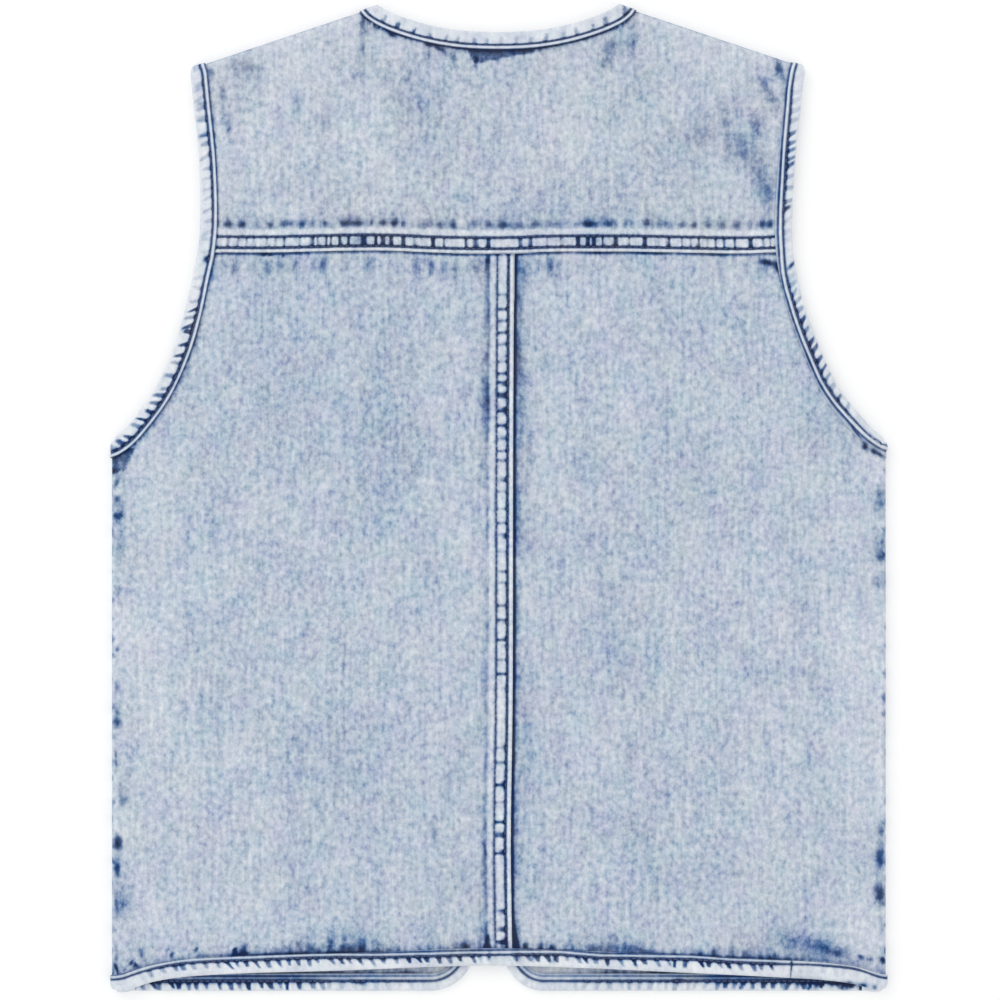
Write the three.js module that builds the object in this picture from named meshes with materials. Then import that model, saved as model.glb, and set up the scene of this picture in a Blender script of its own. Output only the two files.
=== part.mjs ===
// A light washed denim vest, laid flat with its back up and its open fronts beneath.
// Millimetres. +X is the wearer's right, +Y runs towards the neck, +Z is up, and the
// origin lies on the table under the middle of the garment.
//
// Each panel is drawn as a flat cut. A side or shoulder fold then turns the cloth that
// lies past the fold line under the garment, and the wall is given its thickness.

import * as THREE from 'three';

// Cloth and sewing
const cloth = 1.0;
const clearance = 0.3;
const bindingWidth = 10.5;
const seamWidth = 14.4;
const seamRise = 1.0;
const turnRadius = 2.1;
const edgeInset = 2.2;

// The garment as it lies
const halfWidth = { left: 232.7, right: 231.9 };
const shoulderPeak = 319.6;
const shoulderSlope = 0.334;
const hemLevel = -296.2;
const yokeSeam = 148.2;
const forwardShoulder = 22.0;
const sideSeamReach = 15.0;
const frontNeckDepth = 100.0;
const frontEdge = { left: -14.7, right: 2.1 };
const frontCorner = { left: 27.0, right: 25.0 };
const hemJoin = 174.6;
const overMiddle = 4.6;

// The binding holds the cloth's height near an edge, and the fold does near a fold line
const heldByEdge = { back: [12, 40], front: [12, 30] };
const heldByFold = [26, 46];
const flatFromFold = 8;
const seamShoulder = 2;
const ridgeFade = 5;
const stationPace = { curved: 9, straight: 12 };

// Outer edge of the back armholes, as distances from the middle line
const armholeRows = [
  { y: 244.5, left: 184.5, right: 181.9 },
  { y: 233, left: 183.3, right: 180.9 },
  { y: 206, left: 180.5, right: 178.0 },
  { y: 170, left: 179.5, right: 175.8 },
  { y: 152, left: 180.6, right: 176.0 },
  { y: 134, left: 183.9, right: 178.5 },
  { y: 113, left: 188.7, right: 183.9 },
  { y: 89, left: 195.9, right: 192.9 },
  { y: 65, left: 207.0, right: 204.3 },
  { y: 47, left: 220.2, right: 218.8 },
  { y: 40, left: 226.6, right: 225.6 },
];
const armholeTip = { left: 186.6, right: 184.6 };
const underarm = 35.4;

// The front armholes are cut deeper, so the back hides them
const frontArmholeRows = [
  { y: 205, out: 170.0 },
  { y: 170, out: 167.5 },
  { y: 135, out: 168.2 },
  { y: 105, out: 172.5 },
  { y: 78, out: 181.0 },
  { y: 56, out: 193.5 },
  { y: 43, out: 205.5 },
];

// Back neck, measured from its own middle
const neckMiddle = -1.0;
const neckPoint = 72.0;
const neckRows = [
  { out: 0, y: 279.6 },
  { out: 22, y: 280.6 },
  { out: 40, y: 283.6 },
  { out: 56, y: 288.2 },
  { out: 65, y: 291.6 },
];

// The back hem is arched, so the fronts show below it
const hemRows = [
  { x: -224, y: -295.6 },
  { x: -217, y: -293.2 },
  { x: -208, y: -290.4 },
  { x: -192, y: -287.7 },
  { x: -160, y: -285.5 },
  { x: -96, y: -283.6 },
  { x: -10, y: -280.6 },
  { x: 51, y: -282.1 },
  { x: 110, y: -284.8 },
  { x: 160, y: -287.2 },
  { x: 195, y: -289.3 },
  { x: 213, y: -291.7 },
  { x: 223, y: -294.8 },
];

// Edge of the lap down the middle of the back
const backSeamRows = [
  { y: 148, x: 9.4 },
  { y: 30, x: 8.8 },
  { y: -120, x: 8.5 },
  { y: -210, x: 7.4 },
  { y: -280, x: 8.4 },
];

// Soft swells of the back where the cloth stands a little off the fronts
const swells = [
  { x: -150, y: 40, along: 70, across: 16, angle: 50, rise: 0.9 },
  { x: 148, y: 45, along: 64, across: 15, angle: -48, rise: 0.8 },
  { x: -95, y: -70, along: 110, across: 20, angle: 84, rise: 0.6 },
  { x: 110, y: -95, along: 120, across: 22, angle: 97, rise: 0.7 },
  { x: -52, y: -190, along: 70, across: 15, angle: 78, rise: 0.5 },
  { x: 48, y: 60, along: 60, across: 14, angle: 95, rise: 0.5 },
  { x: -105, y: 205, along: 45, across: 14, angle: 12, rise: 0.6 },
  { x: 100, y: 200, along: 50, across: 13, angle: -14, rise: 0.6 },
  { x: 165, y: -215, along: 60, across: 18, angle: 70, rise: 0.6 },
  { x: -170, y: -200, along: 65, across: 17, angle: 108, rise: 0.6 },
];

const sides = ['left', 'right'];
const sign = { left: -1, right: 1 };
const half = cloth / 2;
const underEdge = half + clearance + cloth;
const underMiddle = half;
const overEdge = underEdge + 2 * turnRadius;
const foldStrip = (Math.PI / 2) * turnRadius;
const foldSteps = [-3, -2, -1, 0, 1, 2, 3].map((step) => (step / 3) * foldStrip);
const shoulderCut = forwardShoulder - clearance / 2;
const sideCut = sideSeamReach - clearance / 2;

const v2 = (x, y) => new THREE.Vector2(x, y);
const along = (point, direction, distance) => point.clone().addScaledVector(direction, distance);
const smooth = (t) => THREE.MathUtils.smoothstep(t, 0, 1);
const fall = (distance, start, end) => 1 - smooth((distance - start) / (end - start));

// A measured line: points a millimetre or so apart, with the length run so far
class Line {
  constructor(points) {
    this.points = points;
    this.runs = [0];
    for (let i = 1; i < points.length; i += 1) {
      this.runs.push(this.runs[i - 1] + points[i].distanceTo(points[i - 1]));
    }
    this.length = this.runs[points.length - 1];
  }

  at(run) {
    let i = 1;
    while (i < this.points.length - 1 && this.runs[i] < run) i += 1;
    const share = (run - this.runs[i - 1]) / (this.runs[i] - this.runs[i - 1]);
    return this.points[i - 1].clone().lerp(this.points[i], share);
  }

  direction(run) {
    const step = 0.6;
    const from = this.at(Math.max(run - step, 0));
    const to = this.at(Math.min(run + step, this.length));
    return to.sub(from).normalize();
  }

  inward(run, hand) {
    const direction = this.direction(run);
    return v2(-direction.y * hand, direction.x * hand);
  }

  // Run at which the measure of a point first changes sign
  where(measure) {
    for (let i = 1; i < this.points.length; i += 1) {
      const before = measure(this.points[i - 1]);
      const after = measure(this.points[i]);
      if (before * after <= 0 && before !== after) {
        return this.runs[i - 1] + (this.runs[i] - this.runs[i - 1]) * (before / (before - after));
      }
    }
    throw new Error('the line never reaches that place');
  }

  part(from, to) {
    const inner = this.points.filter((_, i) => this.runs[i] > from + 0.01 && this.runs[i] < to - 0.01);
    return new Line([this.at(from), ...inner, this.at(to)]);
  }

  inset(distance, hand) {
    return new Line(this.points.map((point, i) => along(point, this.inward(this.runs[i], hand), distance)));
  }

  reversed() {
    return new Line([...this.points].reverse());
  }

  distance(point) {
    let best = Infinity;
    for (let i = 1; i < this.points.length; i += 1) {
      const a = this.points[i - 1];
      const b = this.points[i];
      const dx = b.x - a.x;
      const dy = b.y - a.y;
      const share = ((point.x - a.x) * dx + (point.y - a.y) * dy) / (dx * dx + dy * dy);
      const t = Math.min(Math.max(share, 0), 1);
      best = Math.min(best, Math.hypot(point.x - a.x - dx * t, point.y - a.y - dy * t));
    }
    return best;
  }
}

function curveThrough(points) {
  const route = new THREE.CatmullRomCurve3(points.map((p) => new THREE.Vector3(p.x, p.y, 0)), false);
  const count = Math.round(route.getLength() / 0.6);
  return new Line(route.getSpacedPoints(count).map((p) => v2(p.x, p.y)));
}

// Straight stretches with round corners
function roundedLine(corners) {
  const points = [corners[0].at];
  for (let i = 1; i < corners.length - 1; i += 1) {
    const { at, radius } = corners[i];
    const into = at.clone().sub(corners[i - 1].at).normalize();
    const out = corners[i + 1].at.clone().sub(at).normalize();
    const bend = Math.atan2(into.cross(out), into.dot(out));
    const reach = radius * Math.tan(Math.abs(bend) / 2);
    const start = along(at, into, -reach);
    const centre = along(start, v2(-into.y, into.x), radius * Math.sign(bend));
    const steps = Math.max(2, Math.ceil(radius * Math.abs(bend)));
    for (let k = 0; k <= steps; k += 1) {
      points.push(start.clone().rotateAround(centre, (bend * k) / steps));
    }
  }
  points.push(corners[corners.length - 1].at);
  return new Line(points);
}

// Folds: cloth past a fold line goes round it and lies beneath, mirrored
const bulge = foldStrip - turnRadius;
const shoulderLength = Math.hypot(shoulderSlope, 1);
const folds = {};
for (const side of sides) {
  folds[`side_${side}`] = {
    out: v2(sign[side], 0),
    reach: halfWidth[side] - half + bulge,
  };
  folds[`shoulder_${side}`] = {
    out: v2((sign[side] * shoulderSlope) / shoulderLength, 1 / shoulderLength),
    reach: shoulderPeak / shoulderLength - half + bulge,
  };
}
const inside = (fold, point) => fold.reach - fold.out.dot(point);
const across = (fold, point, distances) => {
  const foot = along(point, fold.out, inside(fold, point));
  return distances.map((distance) => along(foot, fold.out, distance));
};
const mirrored = (fold, point) => along(point, fold.out, 2 * inside(fold, point));
const mirroredDirection = (fold, direction) => along(direction, fold.out, -2 * fold.out.dot(direction));

// Bound edges of the back, drawn flat and running past the folds
const pastShoulder = [forwardShoulder, 12, 4, -3.6, -4.2];
const pastSide = [-4.2, -3.6, 4, 9, sideSeamReach];
const backArmhole = {};
for (const side of sides) {
  const out = sign[side];
  const tip = v2(out * armholeTip[side], shoulderPeak - shoulderSlope * armholeTip[side]);
  backArmhole[side] = curveThrough([
    ...across(folds[`shoulder_${side}`], tip, pastShoulder),
    ...armholeRows.map((row) => v2(out * row[side], row.y)),
    ...across(folds[`side_${side}`], v2(out * halfWidth[side], underarm), pastSide),
  ]);
}
const neckEnd = (side) => v2(neckMiddle + sign[side] * neckPoint, shoulderPeak - shoulderSlope * neckPoint);
const backNeck = curveThrough([
  ...across(folds.shoulder_left, neckEnd('left'), pastShoulder),
  ...neckRows.slice(1).reverse().map((row) => v2(neckMiddle - row.out, row.y)),
  ...neckRows.map((row) => v2(neckMiddle + row.out, row.y)),
  ...across(folds.shoulder_right, neckEnd('right'), [...pastShoulder].reverse()),
]);
const backHem = curveThrough([
  ...across(folds.side_left, v2(-halfWidth.left, hemLevel), [...pastSide].reverse()),
  ...hemRows.map((row) => v2(row.x, row.y)),
  ...across(folds.side_right, v2(halfWidth.right, hemLevel), pastSide),
]);
const backSeam = curveThrough([
  v2(backSeamRows[0].x, backSeamRows[0].y + 12),
  ...backSeamRows.map((row) => v2(row.x, row.y)),
  v2(backSeamRows[4].x, backSeamRows[4].y - 14),
]);

// Bound edges of the fronts, as they lie on the table
const frontBound = {};
const frontArmhole = {};
for (const side of sides) {
  const out = sign[side];
  const shoulder = folds[`shoulder_${side}`];
  const sideFold = folds[`side_${side}`];
  const neckRun = side === 'left' ? backNeck.reversed() : backNeck;
  const start = mirrored(shoulder, neckRun.at(neckRun.length));
  const heading = mirroredDirection(shoulder, neckRun.direction(neckRun.length));
  const sideSeam = out * (sideFold.reach - sideSeamReach);
  frontBound[side] = roundedLine([
    { at: start },
    { at: along(start, heading, 25), radius: 60 },
    { at: v2(frontEdge[side], frontNeckDepth), radius: 90 },
    { at: v2(frontEdge[side], hemLevel), radius: frontCorner[side] },
    { at: v2(sideSeam, hemLevel) },
  ]);
  const tip = mirrored(shoulder, backArmhole[side].at(0));
  const down = mirroredDirection(shoulder, backArmhole[side].direction(0)).negate();
  frontArmhole[side] = curveThrough([
    tip,
    along(tip, down, 7),
    ...frontArmholeRows.map((row) => v2(out * row.out, row.y)),
    v2(sideSeam - out * 5, underarm),
    v2(sideSeam, underarm),
  ]);
}
// Which hand the cloth lies on, going along each bound edge
const hand = {
  armhole: { left: 1, right: -1 },
  front: { left: -1, right: 1 },
  neck: -1,
  hem: 1,
};

// Height of the wall's middle: back on top, fronts on the table
const backEdges = [backArmhole.left, backArmhole.right, backNeck, backHem];
const frontEdges = [frontBound.left, frontBound.right, frontArmhole.left, frontArmhole.right];
const foldList = Object.values(folds);
const toEdge = (lines, point) => Math.min(...lines.map((line) => line.distance(point)));
const toFold = (point) => Math.min(...foldList.map((fold) => inside(fold, point)));

function swell(point) {
  let rise = 0;
  for (const row of swells) {
    const turned = v2(point.x - row.x, point.y - row.y);
    turned.rotateAround(v2(0, 0), -THREE.MathUtils.degToRad(row.angle));
    rise += row.rise * Math.exp(-((turned.x / row.along) ** 2) - (turned.y / row.across) ** 2);
  }
  return rise;
}

function backHeight(point) {
  const hold = fall(Math.min(toEdge(backEdges, point), toFold(point)), ...heldByEdge.back);
  return overMiddle + (overEdge - overMiddle) * hold + swell(point) * (1 - hold);
}

function frontHeight(point) {
  const bound = fall(toEdge(frontEdges, point), ...heldByEdge.front);
  const folded = fall(toFold(point), ...heldByFold);
  return underMiddle + (underEdge - underMiddle) * Math.max(bound, folded);
}

// Places a point of the back's flat cut, a distance off the wall's middle
function placeBack(point, off) {
  const fold = foldList.find((one) => inside(one, point) < foldStrip);
  if (!fold) return new THREE.Vector3(point.x, point.y, backHeight(point) + off);
  const a = inside(fold, point);
  const foot = along(point, fold.out, a);
  if (a <= -foldStrip) {
    const under = along(foot, fold.out, a);
    return new THREE.Vector3(under.x, under.y, underEdge - off);
  }
  const angle = a / turnRadius;
  const radius = turnRadius + off;
  const round = along(foot, fold.out, radius * Math.cos(angle) - foldStrip);
  return new THREE.Vector3(round.x, round.y, underEdge + turnRadius + radius * Math.sin(angle));
}

const placeFront = (point, off) => new THREE.Vector3(point.x, point.y, frontHeight(point) - off);

// Ridge of a felled seam, from its lapped edge inwards
const ridge = (distance) => (distance < -0.01 ? 0 : fall(distance, seamWidth - seamShoulder, seamWidth));
const clearOf = (lines, point) => smooth((toEdge(lines, point) - bindingWidth - 1) / ridgeFade);

// A flat cut as a net of four-sided cells; shared points are kept once
class Cut {
  constructor() {
    this.points = [];
    this.cells = [];
    this.known = new Map();
  }

  corner(point) {
    const key = `${point.x.toFixed(3)} ${point.y.toFixed(3)}`;
    if (!this.known.has(key)) {
      this.known.set(key, this.points.length);
      this.points.push(point);
    }
    return this.known.get(key);
  }

  net(rows) {
    const numbers = rows.map((row) => row.map((point) => this.corner(point)));
    for (let j = 1; j < numbers.length; j += 1) {
      for (let i = 1; i < numbers[j].length; i += 1) {
        const cell = [numbers[j - 1][i - 1], numbers[j - 1][i], numbers[j][i], numbers[j][i - 1]];
        const area = THREE.ShapeUtils.area(cell.map((number) => this.points[number]));
        this.cells.push(area > 0 ? cell : cell.reverse());
      }
    }
  }
}

// Shares of a length: fixed margins from its two ends and even steps between them
function shares(length, margins) {
  const head = margins.start.map((margin) => margin / length);
  const tail = margins.end.map((margin) => 1 - margin / length).reverse();
  const from = head[head.length - 1];
  const step = (tail[0] - from) / margins.steps;
  const between = Array.from({ length: margins.steps - 1 }, (_, i) => from + step * (i + 1));
  return [...head, ...between, ...tail];
}

// Rows of points over the patch between four lines that meet at its corners
function patch({ bottom, top, left, right }, rowMargins, columnMargins) {
  const edge = (line, share) => line.at(share * line.length);
  const [a, b, c, d] = [edge(bottom, 0), edge(bottom, 1), edge(top, 0), edge(top, 1)];
  const spot = (u, v) => {
    const lows = edge(bottom, u).multiplyScalar(1 - v);
    const highs = edge(top, u).multiplyScalar(v);
    const lefts = edge(left, v).multiplyScalar(1 - u);
    const rights = edge(right, v).multiplyScalar(u);
    const corners = a.clone().multiplyScalar((1 - u) * (1 - v));
    corners.addScaledVector(b, u * (1 - v)).addScaledVector(c, (1 - u) * v).addScaledVector(d, u * v);
    return lows.add(highs).add(lefts).add(rights).sub(corners);
  };
  const rowLength = (v) => edge(left, v).distanceTo(edge(right, v));
  const columnLength = (u) => edge(bottom, u).distanceTo(edge(top, u));
  const plainU = shares(rowLength(0.5), rowMargins);
  const plainV = shares(columnLength(0.5), columnMargins);
  return plainV.map((v, j) => {
    const rowShares = shares(rowLength(v), rowMargins);
    return plainU.map((u, i) => spot(rowShares[i], shares(columnLength(u), columnMargins)[j]));
  });
}

const straight = (from, to) => new Line([from, to]);

function solid(positions, triangles) {
  let volume = 0;
  for (const [i, j, k] of triangles) {
    volume += positions[i].dot(positions[j].clone().cross(positions[k]));
  }
  const turned = volume > 0 ? triangles : triangles.map(([i, j, k]) => [i, k, j]);
  const numbers = positions.flatMap((point) => point.toArray());
  const geometry = new THREE.BufferGeometry();
  geometry.setAttribute('position', new THREE.Float32BufferAttribute(numbers, 3));
  geometry.setIndex(turned.flat());
  geometry.computeVertexNormals();
  return geometry;
}

// Cloth wall over a flat cut, its right side raised where a seam is felled
function wall(cut, place, rise = () => 0) {
  const count = cut.points.length;
  const positions = [
    ...cut.points.map((point) => place(point, half + rise(point))),
    ...cut.points.map((point) => place(point, -half)),
  ];
  const triangles = [];
  const edgeKey = (from, to) => `${from} ${to}`;
  const used = new Set(cut.cells.flatMap(([a, b, c, d]) => [
    edgeKey(a, b), edgeKey(b, c), edgeKey(c, d), edgeKey(d, a),
  ]));
  for (const cell of cut.cells) {
    const [a, b, c, d] = cell;
    triangles.push([a, b, c], [a, c, d]);
    triangles.push([a + count, c + count, b + count], [a + count, d + count, c + count]);
    cell.forEach((from, k) => {
      const to = cell[(k + 1) % 4];
      if (used.has(edgeKey(to, from))) return;
      triangles.push([to, from, from + count], [to, from + count, to + count]);
    });
  }
  return solid(positions, triangles);
}

// Section of a binding folded over a panel's edge: distance in from the edge, and off the panel
const outerFace = half + clearance + cloth;
const innerFace = half + clearance;
const bindingSection = [
  [bindingWidth, outerFace],
  [1.2, outerFace],
  [0.3, outerFace * 0.62],
  [0, 0],
  [0.3, -outerFace * 0.62],
  [1.2, -outerFace],
  [bindingWidth, -outerFace],
  [bindingWidth, -innerFace],
  [cloth, -innerFace],
  [cloth, innerFace],
  [bindingWidth, innerFace],
];

// Stations along a bound edge: close together round a fold, further apart elsewhere
function stations(line, clothHand, place, crossed, pace) {
  const stop = (fold, a) => line.where((point) => inside(fold, point) - a);
  const marks = crossed.flatMap((fold) => foldSteps.map((a) => stop(fold, a)));
  const trim = clearance / 2 + 0.05;
  const fixed = [trim, ...marks, line.length - trim].sort((a, b) => a - b);
  const runs = [];
  for (let i = 1; i < fixed.length; i += 1) {
    const steps = Math.max(1, Math.round((fixed[i] - fixed[i - 1]) / pace));
    for (let k = 0; k < steps; k += 1) runs.push(fixed[i - 1] + ((fixed[i] - fixed[i - 1]) * k) / steps);
  }
  runs.push(fixed[fixed.length - 1]);
  return runs.map((run) => {
    const point = line.at(run);
    const inward = line.inward(run, clothHand);
    return bindingSection.map(([b, off]) => place(along(point, inward, b), off));
  });
}

function strip(rings) {
  const count = bindingSection.length;
  const positions = rings.flat();
  const caps = THREE.ShapeUtils.triangulateShape(bindingSection.map(([b, off]) => v2(b, off)), []);
  const last = positions.length - count;
  const triangles = [
    ...caps.map(([i, j, k]) => [i, k, j]),
    ...caps.map(([i, j, k]) => [i + last, j + last, k + last]),
  ];
  const clockwise = THREE.ShapeUtils.isClockWise(bindingSection.map(([b, off]) => v2(b, off)));
  for (let s = 1; s < rings.length; s += 1) {
    for (let i = 0; i < count; i += 1) {
      const a = (s - 1) * count + i;
      const b = (s - 1) * count + ((i + 1) % count);
      const quad = clockwise ? [b, a, a + count, b + count] : [a, b, b + count, a + count];
      triangles.push([quad[0], quad[1], quad[2]], [quad[0], quad[2], quad[3]]);
    }
  }
  return solid(positions, triangles);
}

const garment = new THREE.Group();
garment.name = 'denim_vest';

function add(name, geometry, color, roughness) {
  const material = new THREE.MeshStandardMaterial({ color, roughness, metalness: 0, side: THREE.DoubleSide });
  const mesh = new THREE.Mesh(geometry, material);
  mesh.name = name;
  garment.add(mesh);
}

const panelColor = 0xbac5d1;
const yokeColor = 0xb6c0cf;
const frontColor = 0xa9b6c6;
const bindingColor = 0xd3d8df;
const denimRoughness = 0.9;

// Margins from an edge, so that rows of points lie just past its binding or its ridge
const boundMargins = [0, 11.5, 17];
const frontMargins = [0, 11.5, 24];
const seamMargins = [0, seamWidth - seamShoulder, seamWidth];

// Back yoke: from the seam across the back, over both shoulders to the forward seams
{
  const cut = new Cut();
  const keep = flatFromFold;
  const neck = backNeck.inset(edgeInset, hand.neck);
  const neckStart = neck.where((point) => inside(folds.shoulder_left, point) - keep);
  const neckStop = neck.reversed().where((point) => inside(folds.shoulder_right, point) - keep);
  const neckCorner = { left: neck.at(neckStart), right: neck.at(neck.length - neckStop) };
  const up = { start: seamMargins, end: boundMargins, steps: 4 };
  for (const side of sides) {
    const fold = folds[`shoulder_${side}`];
    const armhole = backArmhole[side].inset(edgeInset, hand.armhole[side]);
    const neckSide = side === 'left' ? neck : neck.reversed();
    const onArmhole = (a) => armhole.where((point) => inside(fold, point) - a);
    const low = armhole.at(armhole.where((point) => point.y - yokeSeam));
    const seamCorner = v2(neckCorner[side].x, yokeSeam);
    const outerEdge = armhole.part(onArmhole(keep), armhole.where((point) => point.y - yokeSeam)).reversed();
    const widths = { start: boundMargins, end: boundMargins, steps: 4 };
    cut.net(patch({
      bottom: straight(low, seamCorner),
      top: straight(outerEdge.at(outerEdge.length), neckCorner[side]),
      left: outerEdge,
      right: straight(seamCorner, neckCorner[side]),
    }, widths, up));
    const levels = [keep, ...[...foldSteps].reverse(), seamWidth - shoulderCut,
      seamWidth - seamShoulder - shoulderCut, -shoulderCut];
    cut.net(levels.map((a) => {
      const from = a === keep ? outerEdge.at(outerEdge.length) : armhole.at(onArmhole(a));
      const onNeck = neckSide.at(neckSide.where((point) => inside(fold, point) - a));
      const to = a === keep ? neckCorner[side] : onNeck;
      return shares(from.distanceTo(to), widths).map((share) => from.clone().lerp(to, share));
    }));
  }
  cut.net(patch({
    bottom: straight(v2(neckCorner.left.x, yokeSeam), v2(neckCorner.right.x, yokeSeam)),
    top: neck.part(neckStart, neck.length - neckStop),
    left: straight(v2(neckCorner.left.x, yokeSeam), neckCorner.left),
    right: straight(v2(neckCorner.right.x, yokeSeam), neckCorner.right),
  }, { start: [0], end: [0], steps: 10 }, up));
  const bound = [backArmhole.left, backArmhole.right, backNeck];
  const rise = (point) => {
    const forward = Math.max(...sides.map((side) => {
      const past = shoulderCut + inside(folds[`shoulder_${side}`], point);
      return past < seamWidth + 1 ? ridge(past) : 0;
    }));
    return seamRise * clearOf(bound, point) * Math.max(ridge(point.y - yokeSeam), forward);
  };
  add('back_yoke', wall(cut, placeBack, rise), yokeColor, denimRoughness);
}

// Lower back panels: side seam, round the side fold, armhole, yoke seam, middle seam and hem
const hemInset = backHem.inset(edgeInset, hand.hem);
for (const side of sides) {
  const cut = new Cut();
  const out = sign[side];
  const fold = folds[`side_${side}`];
  const keep = flatFromFold;
  const panelTop = yokeSeam - clearance;
  const armhole = backArmhole[side].inset(edgeInset, hand.armhole[side]);
  const lapGap = side === 'left' ? 0 : clearance;
  const middle = new Line(backSeam.points.map((point) => v2(point.x + lapGap, point.y)));
  const onHem = (x) => hemInset.where((point) => point.x - x);
  const onArmhole = (a) => armhole.where((point) => inside(fold, point) - a);
  const corner = armhole.at(onArmhole(keep));
  const keepX = out * (fold.reach - keep);
  const middleAt = (y) => middle.where((point) => point.y - y);
  const hemRun = hemInset.where((point) => point.x - middle.at(middleAt(hemLevel + 19)).x);
  const hemCorner = hemInset.at(hemRun);
  const hemPart = side === 'left'
    ? hemInset.part(onHem(keepX), hemRun)
    : hemInset.part(hemRun, onHem(keepX)).reversed();
  const middleLow = middleAt(hemCorner.y);
  const middleUp = (from, to) => {
    const piece = middle.part(to, from).reversed();
    piece.points[0] = from === middleLow ? hemCorner : piece.points[0];
    return new Line(piece.points);
  };
  const seamEnd = side === 'left' ? seamMargins : [0];
  const widths = { start: boundMargins, end: seamEnd, steps: 7 };
  const heights = { start: boundMargins, end: boundMargins, steps: 8 };
  const level = straight(corner, middle.at(middleAt(corner.y)));
  cut.net(patch({
    bottom: hemPart,
    top: level,
    left: straight(hemInset.at(onHem(keepX)), corner),
    right: middleUp(middleLow, middleAt(corner.y)),
  }, widths, heights));
  const armholeUp = armhole.part(armhole.where((point) => point.y - panelTop), onArmhole(keep)).reversed();
  cut.net(patch({
    bottom: level,
    top: straight(armholeUp.at(armholeUp.length), middle.at(middleAt(panelTop))),
    left: armholeUp,
    right: middleUp(middleAt(corner.y), middleAt(panelTop)),
  }, widths, { start: [0], end: [0], steps: 11 }));
  const levels = [keep, ...[...foldSteps].reverse(), -sideCut / 2, -sideCut];
  const columns = levels.map((a) => {
    const low = hemInset.at(onHem(out * (fold.reach - a)));
    const high = a === keep ? corner : armhole.at(onArmhole(a));
    return shares(low.distanceTo(high), heights).map((share) => low.clone().lerp(high, share));
  });
  cut.net(columns);
  const bound = [backArmhole[side], backHem];
  const rise = (point) => {
    const past = sideCut + inside(fold, point);
    const sideRidge = past < seamWidth + 1 ? ridge(past) : 0;
    const seamX = middle.at(middleAt(THREE.MathUtils.clamp(point.y, hemLevel + 3, yokeSeam))).x;
    const backRidge = side === 'left' ? ridge(seamX - point.x) : 0;
    return seamRise * clearOf(bound, point) * Math.max(sideRidge, backRidge);
  };
  add(`back_${side}`, wall(cut, placeBack, rise), panelColor, denimRoughness);
}

// Fronts: side seam, armhole, forward shoulder seam, neck, open edge, round corner and hem
for (const side of sides) {
  const cut = new Cut();
  const out = sign[side];
  const shoulder = folds[`shoulder_${side}`];
  const bound = frontBound[side].inset(edgeInset, hand.front[side]);
  const armhole = frontArmhole[side].inset(edgeInset, hand.armhole[side]);
  const shoulderSeam = shoulderCut + clearance;
  const seamX = out * (folds[`side_${side}`].reach - sideCut - clearance);
  const onShoulder = (line) => line.where((point) => inside(shoulder, point) - shoulderSeam);
  const turn = bound.where((point) => point.y - hemLevel - Math.abs(point.x - frontEdge[side]));
  const hemEnd = bound.where((point) => (point.y < 0 ? point.x - seamX : -out * 1000));
  const armholeEnd = armhole.where((point) => point.x - seamX);
  const level = bound.where((point) => point.y - underarm);
  const waist = straight(armhole.at(armholeEnd), bound.at(level));
  const widths = { start: boundMargins, end: frontMargins, steps: 5 };
  cut.net(patch({
    bottom: bound.part(turn, hemEnd).reversed(),
    top: waist,
    left: straight(bound.at(hemEnd), armhole.at(armholeEnd)),
    right: bound.part(level, turn).reversed(),
  }, widths, { start: frontMargins, end: frontMargins, steps: 8 }));
  cut.net(patch({
    bottom: waist,
    top: straight(armhole.at(onShoulder(armhole)), bound.at(onShoulder(bound))),
    left: armhole.part(onShoulder(armhole), armholeEnd).reversed(),
    right: bound.part(onShoulder(bound), level).reversed(),
  }, widths, { start: [0], end: [0], steps: 20 }));
  add(`front_${side}`, wall(cut, placeFront), frontColor, denimRoughness);
}

// Armhole bindings: up the front armhole, over the shoulder and down the back one
for (const side of sides) {
  const crossed = [folds[`shoulder_${side}`], folds[`side_${side}`]];
  const over = stations(backArmhole[side], hand.armhole[side], placeBack, crossed, stationPace.curved);
  const frontRun = frontArmhole[side].reversed();
  const under = stations(frontRun, -hand.armhole[side], placeFront, [], stationPace.curved);
  add(`armhole_binding_${side}`, strip([...under, ...over]), bindingColor, denimRoughness);
}

// Edge binding: one strip all round the neck, the open edges and the hem, parted at the seams
const shoulders = [folds.shoulder_left, folds.shoulder_right];
const neckRun = stations(backNeck, hand.neck, placeBack, shoulders, stationPace.curved);
add('neck_binding', strip(neckRun), bindingColor, denimRoughness);

const join = backHem.where((point) => point.x - hemJoin);
const leftHem = stations(backHem.part(0, join), hand.hem, placeBack, [folds.side_left], stationPace.straight);
add('hem_binding', strip(leftHem), bindingColor, denimRoughness);

const leftFront = stations(frontBound.left, hand.front.left, placeFront, [], stationPace.straight);
add('front_binding_left', strip(leftFront), bindingColor, denimRoughness);

const rightFront = stations(frontBound.right, hand.front.right, placeFront, [], stationPace.straight);
const rightHemLine = backHem.part(join, backHem.length).reversed();
const rightHem = stations(rightHemLine, -hand.hem, placeBack, [folds.side_right], stationPace.straight);
add('front_binding_right', strip([...rightFront, ...rightHem]), bindingColor, denimRoughness);

export default garment;
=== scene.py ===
import math

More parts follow.
